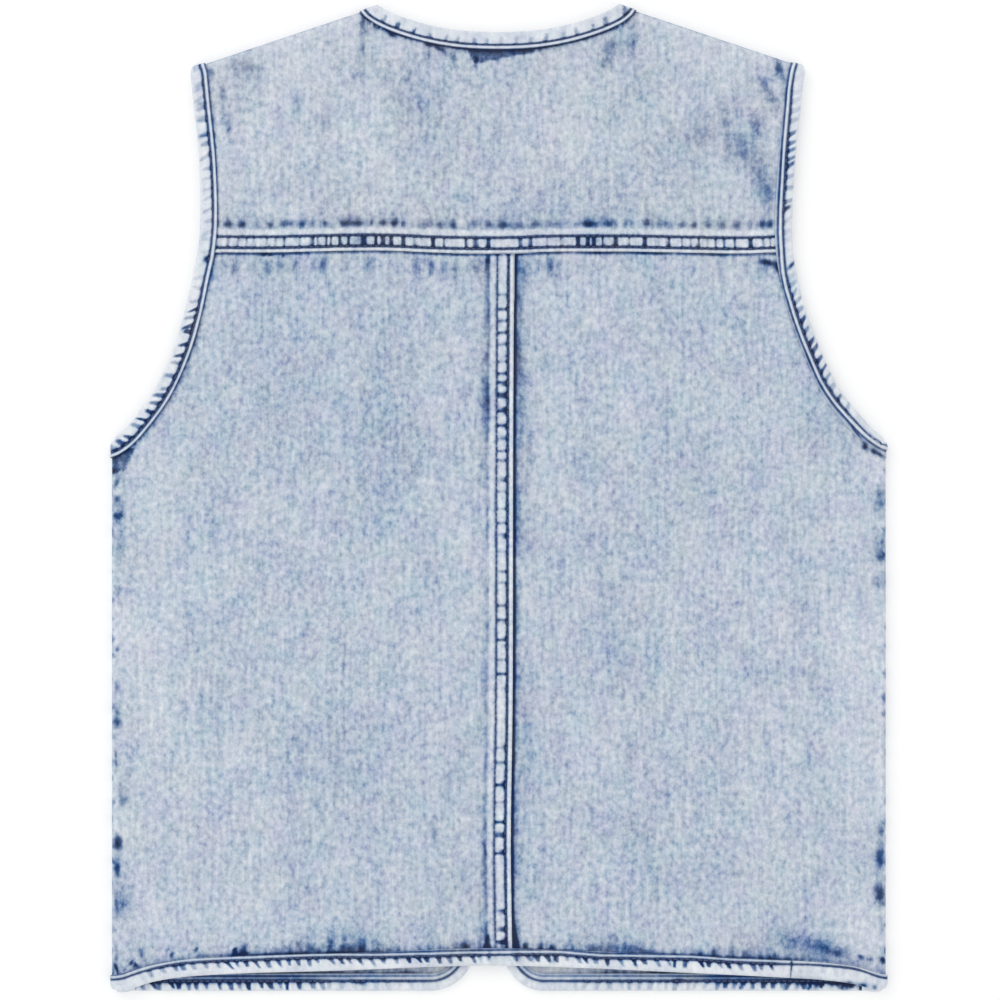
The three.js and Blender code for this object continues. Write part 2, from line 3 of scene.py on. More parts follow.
import bpy
import numpy as np
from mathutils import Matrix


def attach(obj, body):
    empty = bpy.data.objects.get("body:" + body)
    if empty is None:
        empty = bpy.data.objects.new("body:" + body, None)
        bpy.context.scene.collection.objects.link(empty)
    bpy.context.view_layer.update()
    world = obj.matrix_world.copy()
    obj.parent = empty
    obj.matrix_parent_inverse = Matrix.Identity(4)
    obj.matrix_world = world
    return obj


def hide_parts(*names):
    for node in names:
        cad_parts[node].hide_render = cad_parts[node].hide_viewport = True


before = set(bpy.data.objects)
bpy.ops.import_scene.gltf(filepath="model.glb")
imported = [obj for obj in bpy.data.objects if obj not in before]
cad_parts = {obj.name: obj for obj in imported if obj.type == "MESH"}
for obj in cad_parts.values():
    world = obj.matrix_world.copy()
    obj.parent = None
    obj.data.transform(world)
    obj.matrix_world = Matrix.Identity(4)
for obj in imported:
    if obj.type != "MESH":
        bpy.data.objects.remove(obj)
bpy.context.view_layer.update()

# The table and the light
# The vest lies on a plain white table, lit a little from within. It is photographed from
# straight above through a long lens, under one broad lamp and the even light of a white room.
picture_width = 0.6
lens_height = 2.4
vest_top = 0.006
film_width = 36.0
picture_middle = (0.0003, -0.0012)
camera_lens = bpy.data.cameras.new("camera")
camera_lens.sensor_width = film_width
camera_lens.lens = film_width * lens_height / picture_width
camera = bpy.data.objects.new("camera", camera_lens)
camera.location = (*picture_middle, vest_top + lens_height)
bpy.context.collection.objects.link(camera)
bpy.context.scene.camera = camera
bpy.context.scene.view_settings.view_transform = "Standard"


def paint(red, green, blue):
    """A colour as it looks on a screen, from 0 to 255, as the shaders want it."""
    shares = (value / 255 for value in (red, green, blue))
    return (*(s / 12.92 if s <= 0.04045 else ((s + 0.055) / 1.055) ** 2.4 for s in shares), 1.0)


table_reach = 3.0
table_gap = 0.0003
table_mesh = bpy.data.meshes.new("table")
table_mesh.from_pydata(
    [(x * table_reach, y * table_reach, -table_gap) for x, y in ((-1, -1), (1, -1), (1, 1), (-1, 1))],
    [],
    [(0, 1, 2, 3)],
)
table_paint = bpy.data.materials.new("white table")
table_paint.use_nodes = True
table_nodes = table_paint.node_tree.nodes
table_shader = table_nodes["Principled BSDF"]
table_shader.inputs["Roughness"].default_value = 0.8
table_shader.inputs["Specular IOR Level"].default_value = 0.1
table_shader.inputs["Emission Color"].default_value = (1.0, 1.0, 1.0, 1.0)
table_shader.inputs["Emission Strength"].default_value = 0.3
table_grain = table_nodes.new("ShaderNodeTexNoise")
table_grain.inputs["Scale"].default_value = 40.0
table_tint = table_nodes.new("ShaderNodeValToRGB")
table_tint.color_ramp.elements[0].color = paint(218, 218, 218)
table_tint.color_ramp.elements[1].color = paint(220, 220, 220)
table_paint.node_tree.links.new(table_grain.outputs["Fac"], table_tint.inputs["Fac"])
table_paint.node_tree.links.new(table_tint.outputs["Color"], table_shader.inputs["Base Color"])
table_mesh.materials.append(table_paint)
table = bpy.data.objects.new("table", table_mesh)
bpy.context.collection.objects.link(table)

room = bpy.data.worlds.new("white room")
room.use_nodes = True
room.node_tree.nodes["Background"].inputs["Color"].default_value = (1.0, 1.0, 1.0, 1.0)
room.node_tree.nodes["Background"].inputs["Strength"].default_value = 0.92
bpy.context.scene.world = room
lamp_light = bpy.data.lights.new("broad lamp", "AREA")
lamp_light.shape = "RECTANGLE"
lamp_light.size = 2.0
lamp_light.size_y = 2.0
lamp_light.energy = 15.0
lamp = bpy.data.objects.new("broad lamp", lamp_light)
lamp.location = (-1.3, 1.5, 1.9)
lamp.rotation_euler = (math.radians(-44), math.radians(-34), 0.0)
bpy.context.collection.objects.link(lamp)

# Lower back panels
# Two panels of indigo cotton twill, washed almost white, with the grain down the back.
# A felled seam joins them down the middle, sewn with two rows of navy thread. Each goes
# round the side of the body to its side seam on the front. Lengths are in millimetres.
cloth = 1.0
clearance = 0.3
half = cloth / 2
binding_width = 10.5
edge_inset = 2.2
turn_radius = 2.1
seam_width = 14.4
seam_rise = 1.0
half_width = {"left": 232.7, "right": 231.9}
hem_level = -296.2
yoke_seam = 147.6
side_seam_reach = 15.0
under_edge = half + clearance + cloth
over_edge = under_edge + 2 * turn_radius
over_middle = 4.6
fold_strip = math.pi / 2 * turn_radius
fold_bulge = fold_strip - turn_radius
side_cut = side_seam_reach - clearance / 2
sides = ("left", "right")
sign = {"left": -1, "right": 1}


def smooth(share):
    share = np.clip(share, 0, 1)
    return share * share * (3 - 2 * share)


def fall(distance, start, end):
    return 1 - smooth((distance - start) / (end - start))


def streak(distance, width):
    return np.exp(-((distance / width) ** 2))


class Line:
    """A measured line on the flat cut, with the length run so far at each point."""

    def __init__(self, points):
        self.points = np.asarray(points, float)
        self.runs = np.concatenate([[0.0], np.cumsum(np.hypot(*np.diff(self.points, axis=0).T))])
        self.length = self.runs[-1]

    def at(self, run):
        return np.stack([np.interp(run, self.runs, self.points[:, k]) for k in (0, 1)], -1)

    def inward(self, run, hand, step=0.6):
        ahead = self.at(np.minimum(run + step, self.length)) - self.at(np.maximum(run - step, 0))
        ahead = ahead / np.linalg.norm(ahead, axis=-1, keepdims=True)
        return np.stack([-ahead[..., 1], ahead[..., 0]], -1) * hand

    def where(self, measure):
        values = measure(self.points)
        k = np.flatnonzero((values[:-1] * values[1:] <= 0) & (values[:-1] != values[1:]))[0]
        share = values[k] / (values[k] - values[k + 1])
        return self.runs[k] + (self.runs[k + 1] - self.runs[k]) * share

    def part(self, start, stop):
        kept = self.points[(self.runs > start + 0.01) & (self.runs < stop - 0.01)]
        return Line(np.vstack([self.at(start), kept, self.at(stop)]))

    def inset(self, distance, hand):
        return Line(self.points + distance * self.inward(self.runs, hand))

    def reversed(self):
        return Line(self.points[::-1])

    def nearest(self, points, pitch=1.6):
        """Distance to the line, and the run of the nearest place on it."""
        batch = 4000
        marks = np.linspace(0, self.length, max(3, int(self.length / pitch)))
        knots = self.at(marks)
        distance = np.empty(len(points))
        run = np.empty(len(points))
        for start in range(0, len(points), batch):
            some = points[start:start + batch]
            gaps = ((some[:, None] - knots[None]) ** 2).sum(-1)
            middle = np.clip(gaps.argmin(1), 1, len(knots) - 2)
            best = np.full(len(some), np.inf)
            place = np.zeros(len(some))
            for k in (middle - 1, middle):
                side = knots[k + 1] - knots[k]
                t = np.clip(((some - knots[k]) * side).sum(1) / (side ** 2).sum(1), 0, 1)
                gap = np.linalg.norm(some - knots[k] - side * t[:, None], axis=1)
                place = np.where(gap < best, marks[k] + (marks[k + 1] - marks[k]) * t, place)
                best = np.minimum(gap, best)
            distance[start:start + batch] = best
            run[start:start + batch] = place
        return distance, run


def curve_through(knots, pitch=0.6, fineness=60):
    """A smooth line through measured points."""
    knots = np.asarray(knots, float)
    padded = np.vstack([2 * knots[0] - knots[1], knots, 2 * knots[-1] - knots[-2]])
    before, start, stop, after = padded[:-3], padded[1:-2], padded[2:-1], padded[3:]
    t0, t1, t2 = (
        np.sqrt(np.linalg.norm(b - a, axis=1, keepdims=True))
        for a, b in ((before, start), (start, stop), (stop, after))
    )
    leave = ((start - before) / t0 - (stop - before) / (t0 + t1)) * t1 + (stop - start)
    arrive = (stop - start) + ((after - stop) / t2 - (after - start) / (t1 + t2)) * t1
    t = np.linspace(0, 1, fineness, endpoint=False)[None, :, None]
    points = (
        start[:, None] * (2 * t ** 3 - 3 * t ** 2 + 1)
        + leave[:, None] * (t ** 3 - 2 * t ** 2 + t)
        + stop[:, None] * (3 * t ** 2 - 2 * t ** 3)
        + arrive[:, None] * (t ** 3 - t ** 2)
    )
    fine = Line(np.vstack([points.reshape(-1, 2), knots[-1:]]))
    return Line(fine.at(np.linspace(0, fine.length, round(fine.length / pitch) + 1)))


class Fold:
    """A straight line that the cloth turns round, to lie beneath itself."""

    def __init__(self, out, reach):
        self.out = np.asarray(out, float)
        self.reach = reach

    def inside(self, points):
        return self.reach - points @ self.out

    def across(self, point, distances):
        foot = np.asarray(point, float) + self.out * self.inside(np.asarray(point, float))
        return [foot + self.out * distance for distance in distances]

    def slanting(self, point, knots, aside):
        """Knots of an edge that crosses the fold askew: the way past it, and the way aside."""
        foot = np.asarray(point, float) + self.out * self.inside(np.asarray(point, float))
        return [foot + self.out * past + np.asarray(aside, float) * off for past, off in knots]

    def mirrored(self, point):
        return point + 2 * self.out * self.inside(point)


# Shoulder folds and armhole edges are shared with the yoke, which carries them on
shoulder_peak = 319.6
shoulder_slope = 0.334
shoulder_length = math.hypot(shoulder_slope, 1)
forward_shoulder = 22.0
folds = {}
for side in sides:
    folds["side_" + side] = Fold((sign[side], 0), half_width[side] - half + fold_bulge)
    slope = (sign[side] * shoulder_slope / shoulder_length, 1 / shoulder_length)
    folds["shoulder_" + side] = Fold(slope, shoulder_peak / shoulder_length - half + fold_bulge)

armhole_rows = {
    "y": (244.5, 233, 206, 170, 152, 134, 113, 89, 65, 47, 40.2),
    "left": (184.5, 183.3, 180.5, 179.5, 180.6, 183.9, 188.7, 195.9, 207.0, 220.2, 226.4),
    "right": (181.9, 180.9, 178.0, 175.8, 176.0, 178.5, 183.9, 192.9, 204.3, 218.8, 225.4),
}
armhole_tip = {"left": 186.6, "right": 184.6}
underarm = 35.4
past_shoulder = (forward_shoulder, 12, 4, -3.6, -4.2)
past_underarm = ((-1.9, 0.9), (3.6, -1.6), (7.5, -1.2), (11, -0.1), (side_seam_reach, 0))
armhole_hand = {"left": 1, "right": -1}
shoulder_tips = {}
back_armhole = {}
for side in sides:
    out = sign[side]
    tip = np.array([out * armhole_tip[side], shoulder_peak - shoulder_slope * armhole_tip[side]])
    shoulder_tips[side] = tip
    back_armhole[side] = curve_through([
        *folds["shoulder_" + side].across(tip, past_shoulder),
        *((out * x, y) for x, y in zip(armhole_rows[side], armhole_rows["y"])),
        *folds["side_" + side].slanting((out * half_width[side], underarm), past_underarm, (0, 1)),
    ])

# The back hem is arched, so the hem of the fronts shows beneath it
hem_rows = (
    (-224, -295.6), (-217, -293.2), (-208, -290.4), (-192, -287.7), (-160, -285.5), (-96, -283.6),
    (-10, -280.6), (51, -282.1), (110, -284.8), (160, -287.2), (195, -289.3), (213, -291.7), (223, -294.8),
)
past_hem = ((-1, -0.6), (3, -1.2), (8, -0.8), (12, -0.1), (side_seam_reach, 0))
hem_hand = 1
back_hem = curve_through([
    *folds["side_left"].slanting((-half_width["left"], hem_level), past_hem[::-1], (0, 1)),
    *hem_rows,
    *folds["side_right"].slanting((half_width["right"], hem_level), past_hem, (0, 1)),
])
# The middle seam lies a little to the wearer's right, and its line runs on past both ends
back_seam = curve_through([
    (8.8, 160), (8.8, 148), (8.2, 30), (7.9, -120), (6.8, -210), (7.8, -280), (7.8, -294),
])

# Where the pull of the thread drew the rows of a band nearer to its edge or further in
armhole_strays = {
    "left": ((30, 0.0), (110, 0.0), (130, -0.5), (160, 0.0), (190, -0.3), (215, -0.6), (245, -0.5)),
    "right": (
        (36, -3.9), (47, -3.0), (56, -2.7), (65, -2.3), (74, -1.7), (119, -1.6), (128, -1.2), (137, -1.3),
        (150, -2.1), (190, -2.2), (210, -1.8), (227, -1.3), (245, -1.1),
    ),
}
hem_strays = (
    (-209, 0.0), (-186, 0.6), (-150, 0.2), (-114, 0.6), (-96, 0.4), (-72, -0.6), (-42, -1.2), (-6, -1.2),
    (18, -0.6), (36, 0.0), (60, -1.2), (78, -0.6), (114, 0.6), (138, 0.0), (168, 0.4), (186, 1.0),
    (210, 1.4), (228, 0.8),
)


def strayed(at, level):
    """How far the rows of a back band lie from their usual way in, at places on the cut."""
    x, y = at[..., 0], at[..., 1]
    left, right = (np.interp(y, *np.array(armhole_strays[side]).T) for side in sides)
    at_armhole = (np.abs(x) > 150) * (y > 0)
    at_hem = y < -200
    at_side = np.where(x < 0, left, right) * at_armhole
    return (at_side + np.interp(x, *np.array(hem_strays).T) * at_hem) * level


# Soft swells, and the creases that the cloth kept from being folded and pressed
swells = (
    (-150, 40, 70, 16, 50, 0.9), (148, 45, 64, 15, -48, 0.8), (-95, -70, 110, 20, 84, 0.6),
    (110, -95, 120, 22, 97, 0.7), (-52, -190, 70, 15, 78, 0.5), (48, 60, 60, 14, 95, 0.5),
    (-105, 205, 45, 14, 12, 0.6), (100, 200, 50, 13, -14, 0.6), (165, -215, 60, 18, 70, 0.6),
    (-170, -200, 65, 17, 108, 0.6),
)
creases = (
    (-205, 60, 30, 5, 58, 0.45), (206, 58, 26, 5, -60, 0.4), (-188, 20, 46, 6, 42, 0.4),
    (186, 14, 40, 6, -38, 0.35), (-60, 120, 26, 4, 84, 0.25), (70, 118, 30, 4, 96, 0.25),
    (-196, -262, 22, 4, 112, 0.4), (-212, -268, 16, 3, 104, 0.35), (188, -266, 24, 4, 66, 0.4),
    (-30, -250, 26, 4, 80, 0.3), (40, -255, 24, 4, 101, 0.3), (-120, -258, 20, 4, 88, 0.3),
    (-140, 236, 34, 5, -16, 0.35), (138, 240, 30, 5, 18, 0.35), (-30, 240, 26, 5, 88, 0.3),
    (128, -150, 80, 7, 86, 0.35), (-128, -20, 90, 7, 94, 0.3), (36, -40, 70, 6, 88, 0.25),
    (-24, -120, 60, 6, 95, 0.25), (196, -110, 52, 5, 84, 0.4), (-200, -110, 60, 5, 97, 0.4),
)


def mounds(points, rows):
    """Long soft mounds, each with its place, its two sizes, its turn in degrees and its rise."""
    total = np.zeros(len(points))
    for x, y, along, across, turn, rise in rows:
        c, s = math.cos(math.radians(turn)), math.sin(math.radians(turn))
        dx, dy = points[:, 0] - x, points[:, 1] - y
        total += rise * streak(dx * c + dy * s, along) * streak(dy * c - dx * s, across)
    return total


blot_softness = 1.2


def blots(points, rows):
    """Sharp patches of dye: each has its corners, going round to the left, and its depth."""
    total = np.zeros(len(points))
    for corners, depth in rows:
        corners = np.asarray(corners, float)
        ahead = np.roll(corners, -1, axis=0) - corners
        ahead /= np.linalg.norm(ahead, axis=1, keepdims=True)
        way = points[:, None] - corners
        within = (ahead[:, 0] * way[..., 1] - ahead[:, 1] * way[..., 0]).min(1)
        total += depth * smooth(within / blot_softness + 0.5)
    return total


# Where a bound edge turns round a fold it is bulky, so that corner of the garment is round:
# each corner has its place, its two ways out and its radius
corner_bulge = 0.6
corner_radius = {"hem": 7.0, "underarm": 5.0, "shoulder": 5.0}
round_corners = []
for side in sides:
    out = sign[side]
    side_edge = out * (half_width[side] + corner_bulge)
    slope = folds["shoulder_" + side].out
    round_corners += [
        ((side_edge, hem_level - 1.0), (out, 0), (0, -1), corner_radius["hem"]),
        ((side_edge, underarm), (out, 0), (0, 1), corner_radius["underarm"]),
        (
            shoulder_tips[side] + corner_bulge * slope, slope, (out * slope[1], -out * slope[0]),
            corner_radius["shoulder"],
        ),
    ]


back_hold = (12, 40)


def back_height(points, to_edge):
    """Height of the back's cloth: its edges and folds hold it up, and it sinks between them."""
    to_fold = np.min([fold.inside(points) for fold in folds.values()], axis=0)
    hold = fall(np.minimum(to_edge, to_fold), *back_hold)
    return over_middle + (over_edge - over_middle) * hold + mounds(points, swells + creases) * (1 - hold)


def place_back(points, off, height=over_edge):
    """Places the flat cut of the back: on top, and past a fold line round it and beneath."""
    off = np.broadcast_to(off, points.shape[:-1])
    placed = np.concatenate([points, (off + height)[..., None]], -1)
    for fold in folds.values():
        past = fold.inside(points)
        radius = turn_radius + off
        foot = points + past[..., None] * fold.out
        turned = foot + (radius * np.cos(past / turn_radius) - fold_strip)[..., None] * fold.out
        level = under_edge + turn_radius + radius * np.sin(past / turn_radius)
        turning = (past < fold_strip)[..., None]
        placed = np.where(turning, np.concatenate([turned, level[..., None]], -1), placed)
        beneath = np.concatenate([foot + past[..., None] * fold.out, (under_edge - off)[..., None]], -1)
        placed = np.where((past < -fold_strip)[..., None], beneath, placed)
    for corner, first, second, radius in round_corners:
        centre = np.asarray(corner) - radius * np.add(first, second)
        way = placed[..., :2] - centre
        a, b = way @ np.asarray(first, float), way @ np.asarray(second, float)
        pull = np.maximum(a, b) / np.maximum(np.hypot(a, b), 0.001)
        pull = np.where((a > 0) & (b > 0), pull, 1.0)
        placed[..., :2] = centre + way * pull[..., None]
    return placed


class Cut:
    """The flat cut of a panel, as a net of four-sided cells."""

    def __init__(self):
        self.nets = []

    def net(self, rows):
        self.nets.append(rows)

    def close(self):
        spots, cells, count = [], [], 0
        for rows in self.nets:
            number = np.arange(rows.shape[0] * rows.shape[1]).reshape(rows.shape[:2]) + count
            cells.append(np.stack([number[:-1, :-1], number[:-1, 1:], number[1:, 1:], number[1:, :-1]], -1))
            spots.append(rows.reshape(-1, 2))
            count += number.size
        spots = np.vstack(spots)
        # Points of two nets that lie within a thousandth of a millimetre are one point
        keys = np.round(spots * 1000).astype(np.int64)
        keys = keys[:, 0] * 10_000_000 + keys[:, 1]
        _, first, back = np.unique(keys, return_index=True, return_inverse=True)
        self.points = spots[first]
        self.cells = back[np.vstack([block.reshape(-1, 4) for block in cells])]
        corner = self.points[self.cells]
        cross = corner[:, 2] - corner[:, 0], corner[:, 3] - corner[:, 1]
        area = (cross[0][:, 0] * cross[1][:, 1] - cross[0][:, 1] * cross[1][:, 0]) / 2
        self.cells = np.where(area[:, None] > 0, self.cells, self.cells[:, ::-1])
        self.area = float(np.abs(area).sum()) * 1e-6
        self.size = tuple(float(side) for side in np.ptp(self.points, axis=0) * 0.001)


def shares(length, start, end, steps):
    """Shares of a length: fixed margins from its two ends and even steps between them."""
    length = np.asarray(length, float)[..., None]
    head = np.asarray(start) / length
    tail = 1 - np.asarray(end[::-1]) / length
    even = np.linspace(0, 1, steps + 1)[1:-1]
    return np.concatenate([head, head[..., -1:] + (tail[..., :1] - head[..., -1:]) * even, tail], -1)


def patch(bottom, top, left, right, row_margins, column_margins):
    """Rows of points between four lines that meet at the corners of the patch."""
    def edge(line, share):
        return line.at(share * line.length)

    def row_length(v):
        return np.linalg.norm(edge(left, v) - edge(right, v), axis=-1)

    def column_length(u):
        return np.linalg.norm(edge(bottom, u) - edge(top, u), axis=-1)

    plain_u = shares(row_length(0.5), *row_margins)
    plain_v = shares(column_length(0.5), *column_margins)
    u = shares(row_length(plain_v), *row_margins)
    v = shares(column_length(plain_u), *column_margins).T
    uu, vv = u[..., None], v[..., None]
    corners = (
        (1 - uu) * (1 - vv) * edge(bottom, 0) + uu * (1 - vv) * edge(bottom, 1)
        + (1 - uu) * vv * edge(top, 0) + uu * vv * edge(top, 1)
    )
    across = (1 - vv) * edge(bottom, u) + vv * edge(top, u)
    along = (1 - uu) * edge(left, v) + uu * edge(right, v)
    return across + along - corners


def steps_of(length, pitch):
    return max(2, round(length / pitch))


def wall(cells, over, under):
    """A closed wall of cloth between its right side and its wrong side."""
    count = len(over)
    points = np.vstack([over, under])
    edges = np.stack([cells, np.roll(cells, -1, axis=1)], -1).reshape(-1, 2)
    # An edge that no other cell has the other way round lies on the rim
    known = edges[:, 1] * count + edges[:, 0]
    rim = edges[~np.isin(edges[:, 0] * count + edges[:, 1], known)]
    rims = np.stack([rim[:, 1], rim[:, 0], rim[:, 0] + count, rim[:, 1] + count], 1)
    quads = np.vstack([cells, cells[:, ::-1] + count, rims])
    a, b, c, d = (points[quads[:, k]] for k in range(4))
    volume = (a * np.cross(b, c)).sum() + (a * np.cross(c, d)).sum()
    return points, quads if volume > 0 else quads[:, ::-1]


def sewn_object(name, points, faces, material, marks):
    """A mesh in metres, with a number at each point for every mark that its material reads."""
    mesh = bpy.data.meshes.new(name)
    mesh.vertices.add(len(points))
    mesh.vertices.foreach_set("co", (points * 0.001).astype(np.float32).ravel())
    sizes = np.concatenate([np.full(len(group), group.shape[1]) for group in faces])
    loops = np.concatenate([group.ravel() for group in faces]).astype(np.int32)
    mesh.loops.add(len(loops))
    mesh.loops.foreach_set("vertex_index", loops)
    mesh.polygons.add(len(sizes))
    starts = np.concatenate([[0], np.cumsum(sizes)[:-1]]).astype(np.int32)
    mesh.polygons.foreach_set("loop_start", starts)
    mesh.polygons.foreach_set("use_smooth", np.ones(len(sizes), bool))
    mesh.update(calc_edges=True)
    for label, values in marks.items():
        mesh.attributes.new(label, "FLOAT", "POINT").data.foreach_set("value", values.astype(np.float32))
    mesh.materials.append(material)
    made = bpy.data.objects.new(name, mesh)
    bpy.context.collection.objects.link(made)
    return made


def wedges(run_length, pitch, half_size, reach, slant, seed):
    """Seeded places along a sewn edge where the cloth is puckered into a wedge."""
    draws = np.random.default_rng(seed)
    count = int(run_length / pitch) + 4
    return {
        "place": (np.cumsum(draws.uniform(0.65, 1.35, count)) - 1.5) * pitch,
        "half": draws.uniform(*half_size, count),
        "reach": draws.uniform(*reach, count),
        "slant": draws.normal(slant, 0.18, count),
        "depth": draws.uniform(0.5, 1.0, count),
    }


def placed_wedges(rows, reach):
    """Wedges where the picture shows them: each has its place, its half width and its depth."""
    place, half_size, depth = np.array(sorted(rows)).T
    return {
        "place": place, "half": half_size, "depth": depth,
        "reach": np.full(len(place), reach), "slant": np.zeros(len(place)),
    }


def puckered(run, depth, rows, taper=0.8):
    """How far points lie inside the wedges, from 0 to 1; depth is the way from the stitches."""
    found = np.zeros(np.broadcast(run, depth).shape)
    near = np.searchsorted(rows["place"], run)
    for step in (-2, -1, 0, 1):
        k = np.clip(near + step, 0, len(rows["place"]) - 1)
        left = 1 - np.maximum(depth, 0) / rows["reach"][k]
        width = np.maximum(rows["half"][k] * np.maximum(left, 0) ** taper, 0.05)
        aside = np.abs(run - rows["place"][k] - rows["slant"][k] * depth)
        inner = smooth((1 - aside / width) * 2.0) * (left > 0) * smooth((depth + 0.6) / 0.5)
        found = np.maximum(found, rows["depth"][k] * inner * np.minimum(1, left * 5))
    return found


drift_span = (-400, 1600)


def drift(run, pitch, low, high, seed):
    """A number that wanders between two values along a seam."""
    knots = np.arange(*drift_span, pitch)
    return np.interp(run, knots, np.random.default_rng(seed).uniform(low, high, len(knots)))


def ridge(distance):
    """Height share of a felled seam, by the distance in from its lapped edge."""
    return np.where(distance < -0.01, 0, fall(distance, seam_width - 2, seam_width))


def clear_of(to_edge):
    """A felled seam flattens out just before it goes under a binding."""
    return smooth((to_edge - binding_width - 1) / 5)


# Relief is in millimetres, and dye is a share of indigo, added to what the cloth holds.
# How deep the rolled edge of the lap, the groove of a row and a puckered square are
lap_roll, groove_depth, square_depth = 0.45, 0.42, 0.34
# How much dye the rows hold, and how much of it is worn off the lap, the foot and the middle
row_dye, worn_lap, worn_foot, worn_middle = 0.95, 0.36, 0.2, 0.22


def felled(across, run, rows, near_row, far_row):
    """Relief and dye of a felled seam: lapped edge, two stitched grooves, puckers between."""
    def both_rows(width):
        return streak(across - near_row, width) + streak(across - far_row, width)

    def from_middle(start, stop):
        return np.abs(across - (start + stop) / 2)

    squares = puckered(run, across - near_row, rows) * (across < far_row - 0.2)
    on = ridge(across)
    rolled = seam_rise - lap_roll * streak(across, 0.45)
    relief = on * (rolled - groove_depth * both_rows(0.55) - square_depth * squares)
    dye = row_dye * both_rows(0.95) + squares * (0.6 + 0.4 * both_rows(2.2))
    dye -= worn_lap * streak(across - near_row * 0.42, near_row * 0.28)
    dye -= worn_foot * fall(from_middle(far_row, seam_width), 1.2, 2.6)
    dye -= worn_middle * fall(from_middle(near_row, far_row), 2.0, 3.2) * (1 - squares)
    return relief, np.where(on > 0.02, dye, 0)


longest_edge = 1200


def edge_marks(
    distance, run, seed, line, wedge_share, pitch=9.0, reach=(2, 9), half_size=(0.8, 1.7), halo=(0.36, 2.2),
):
    """Dye and relief that a binding leaves on the panel beside it: dashes of dye where it puckers the cloth,
    and a painted shadow line with a soft painted halo along its edge.
    """
    depth = distance - binding_width
    rows = wedges(longest_edge, pitch, half_size, reach, 0.0, seed)
    dashes = puckered(run, depth, rows) * drift(run, 26, 0.1, 1.0, seed + 1) * wedge_share
    shadow = streak(depth - 0.1, 0.8) * drift(run, 6, 0.5, 1.0, seed + 2) * line
    shadow = shadow + halo[0] * streak(np.maximum(depth, 0), halo[1]) * drift(run, 15, 0.4, 1.3, seed + 7)
    return dashes + shadow, -0.25 * dashes * fall(depth, 6, 12)


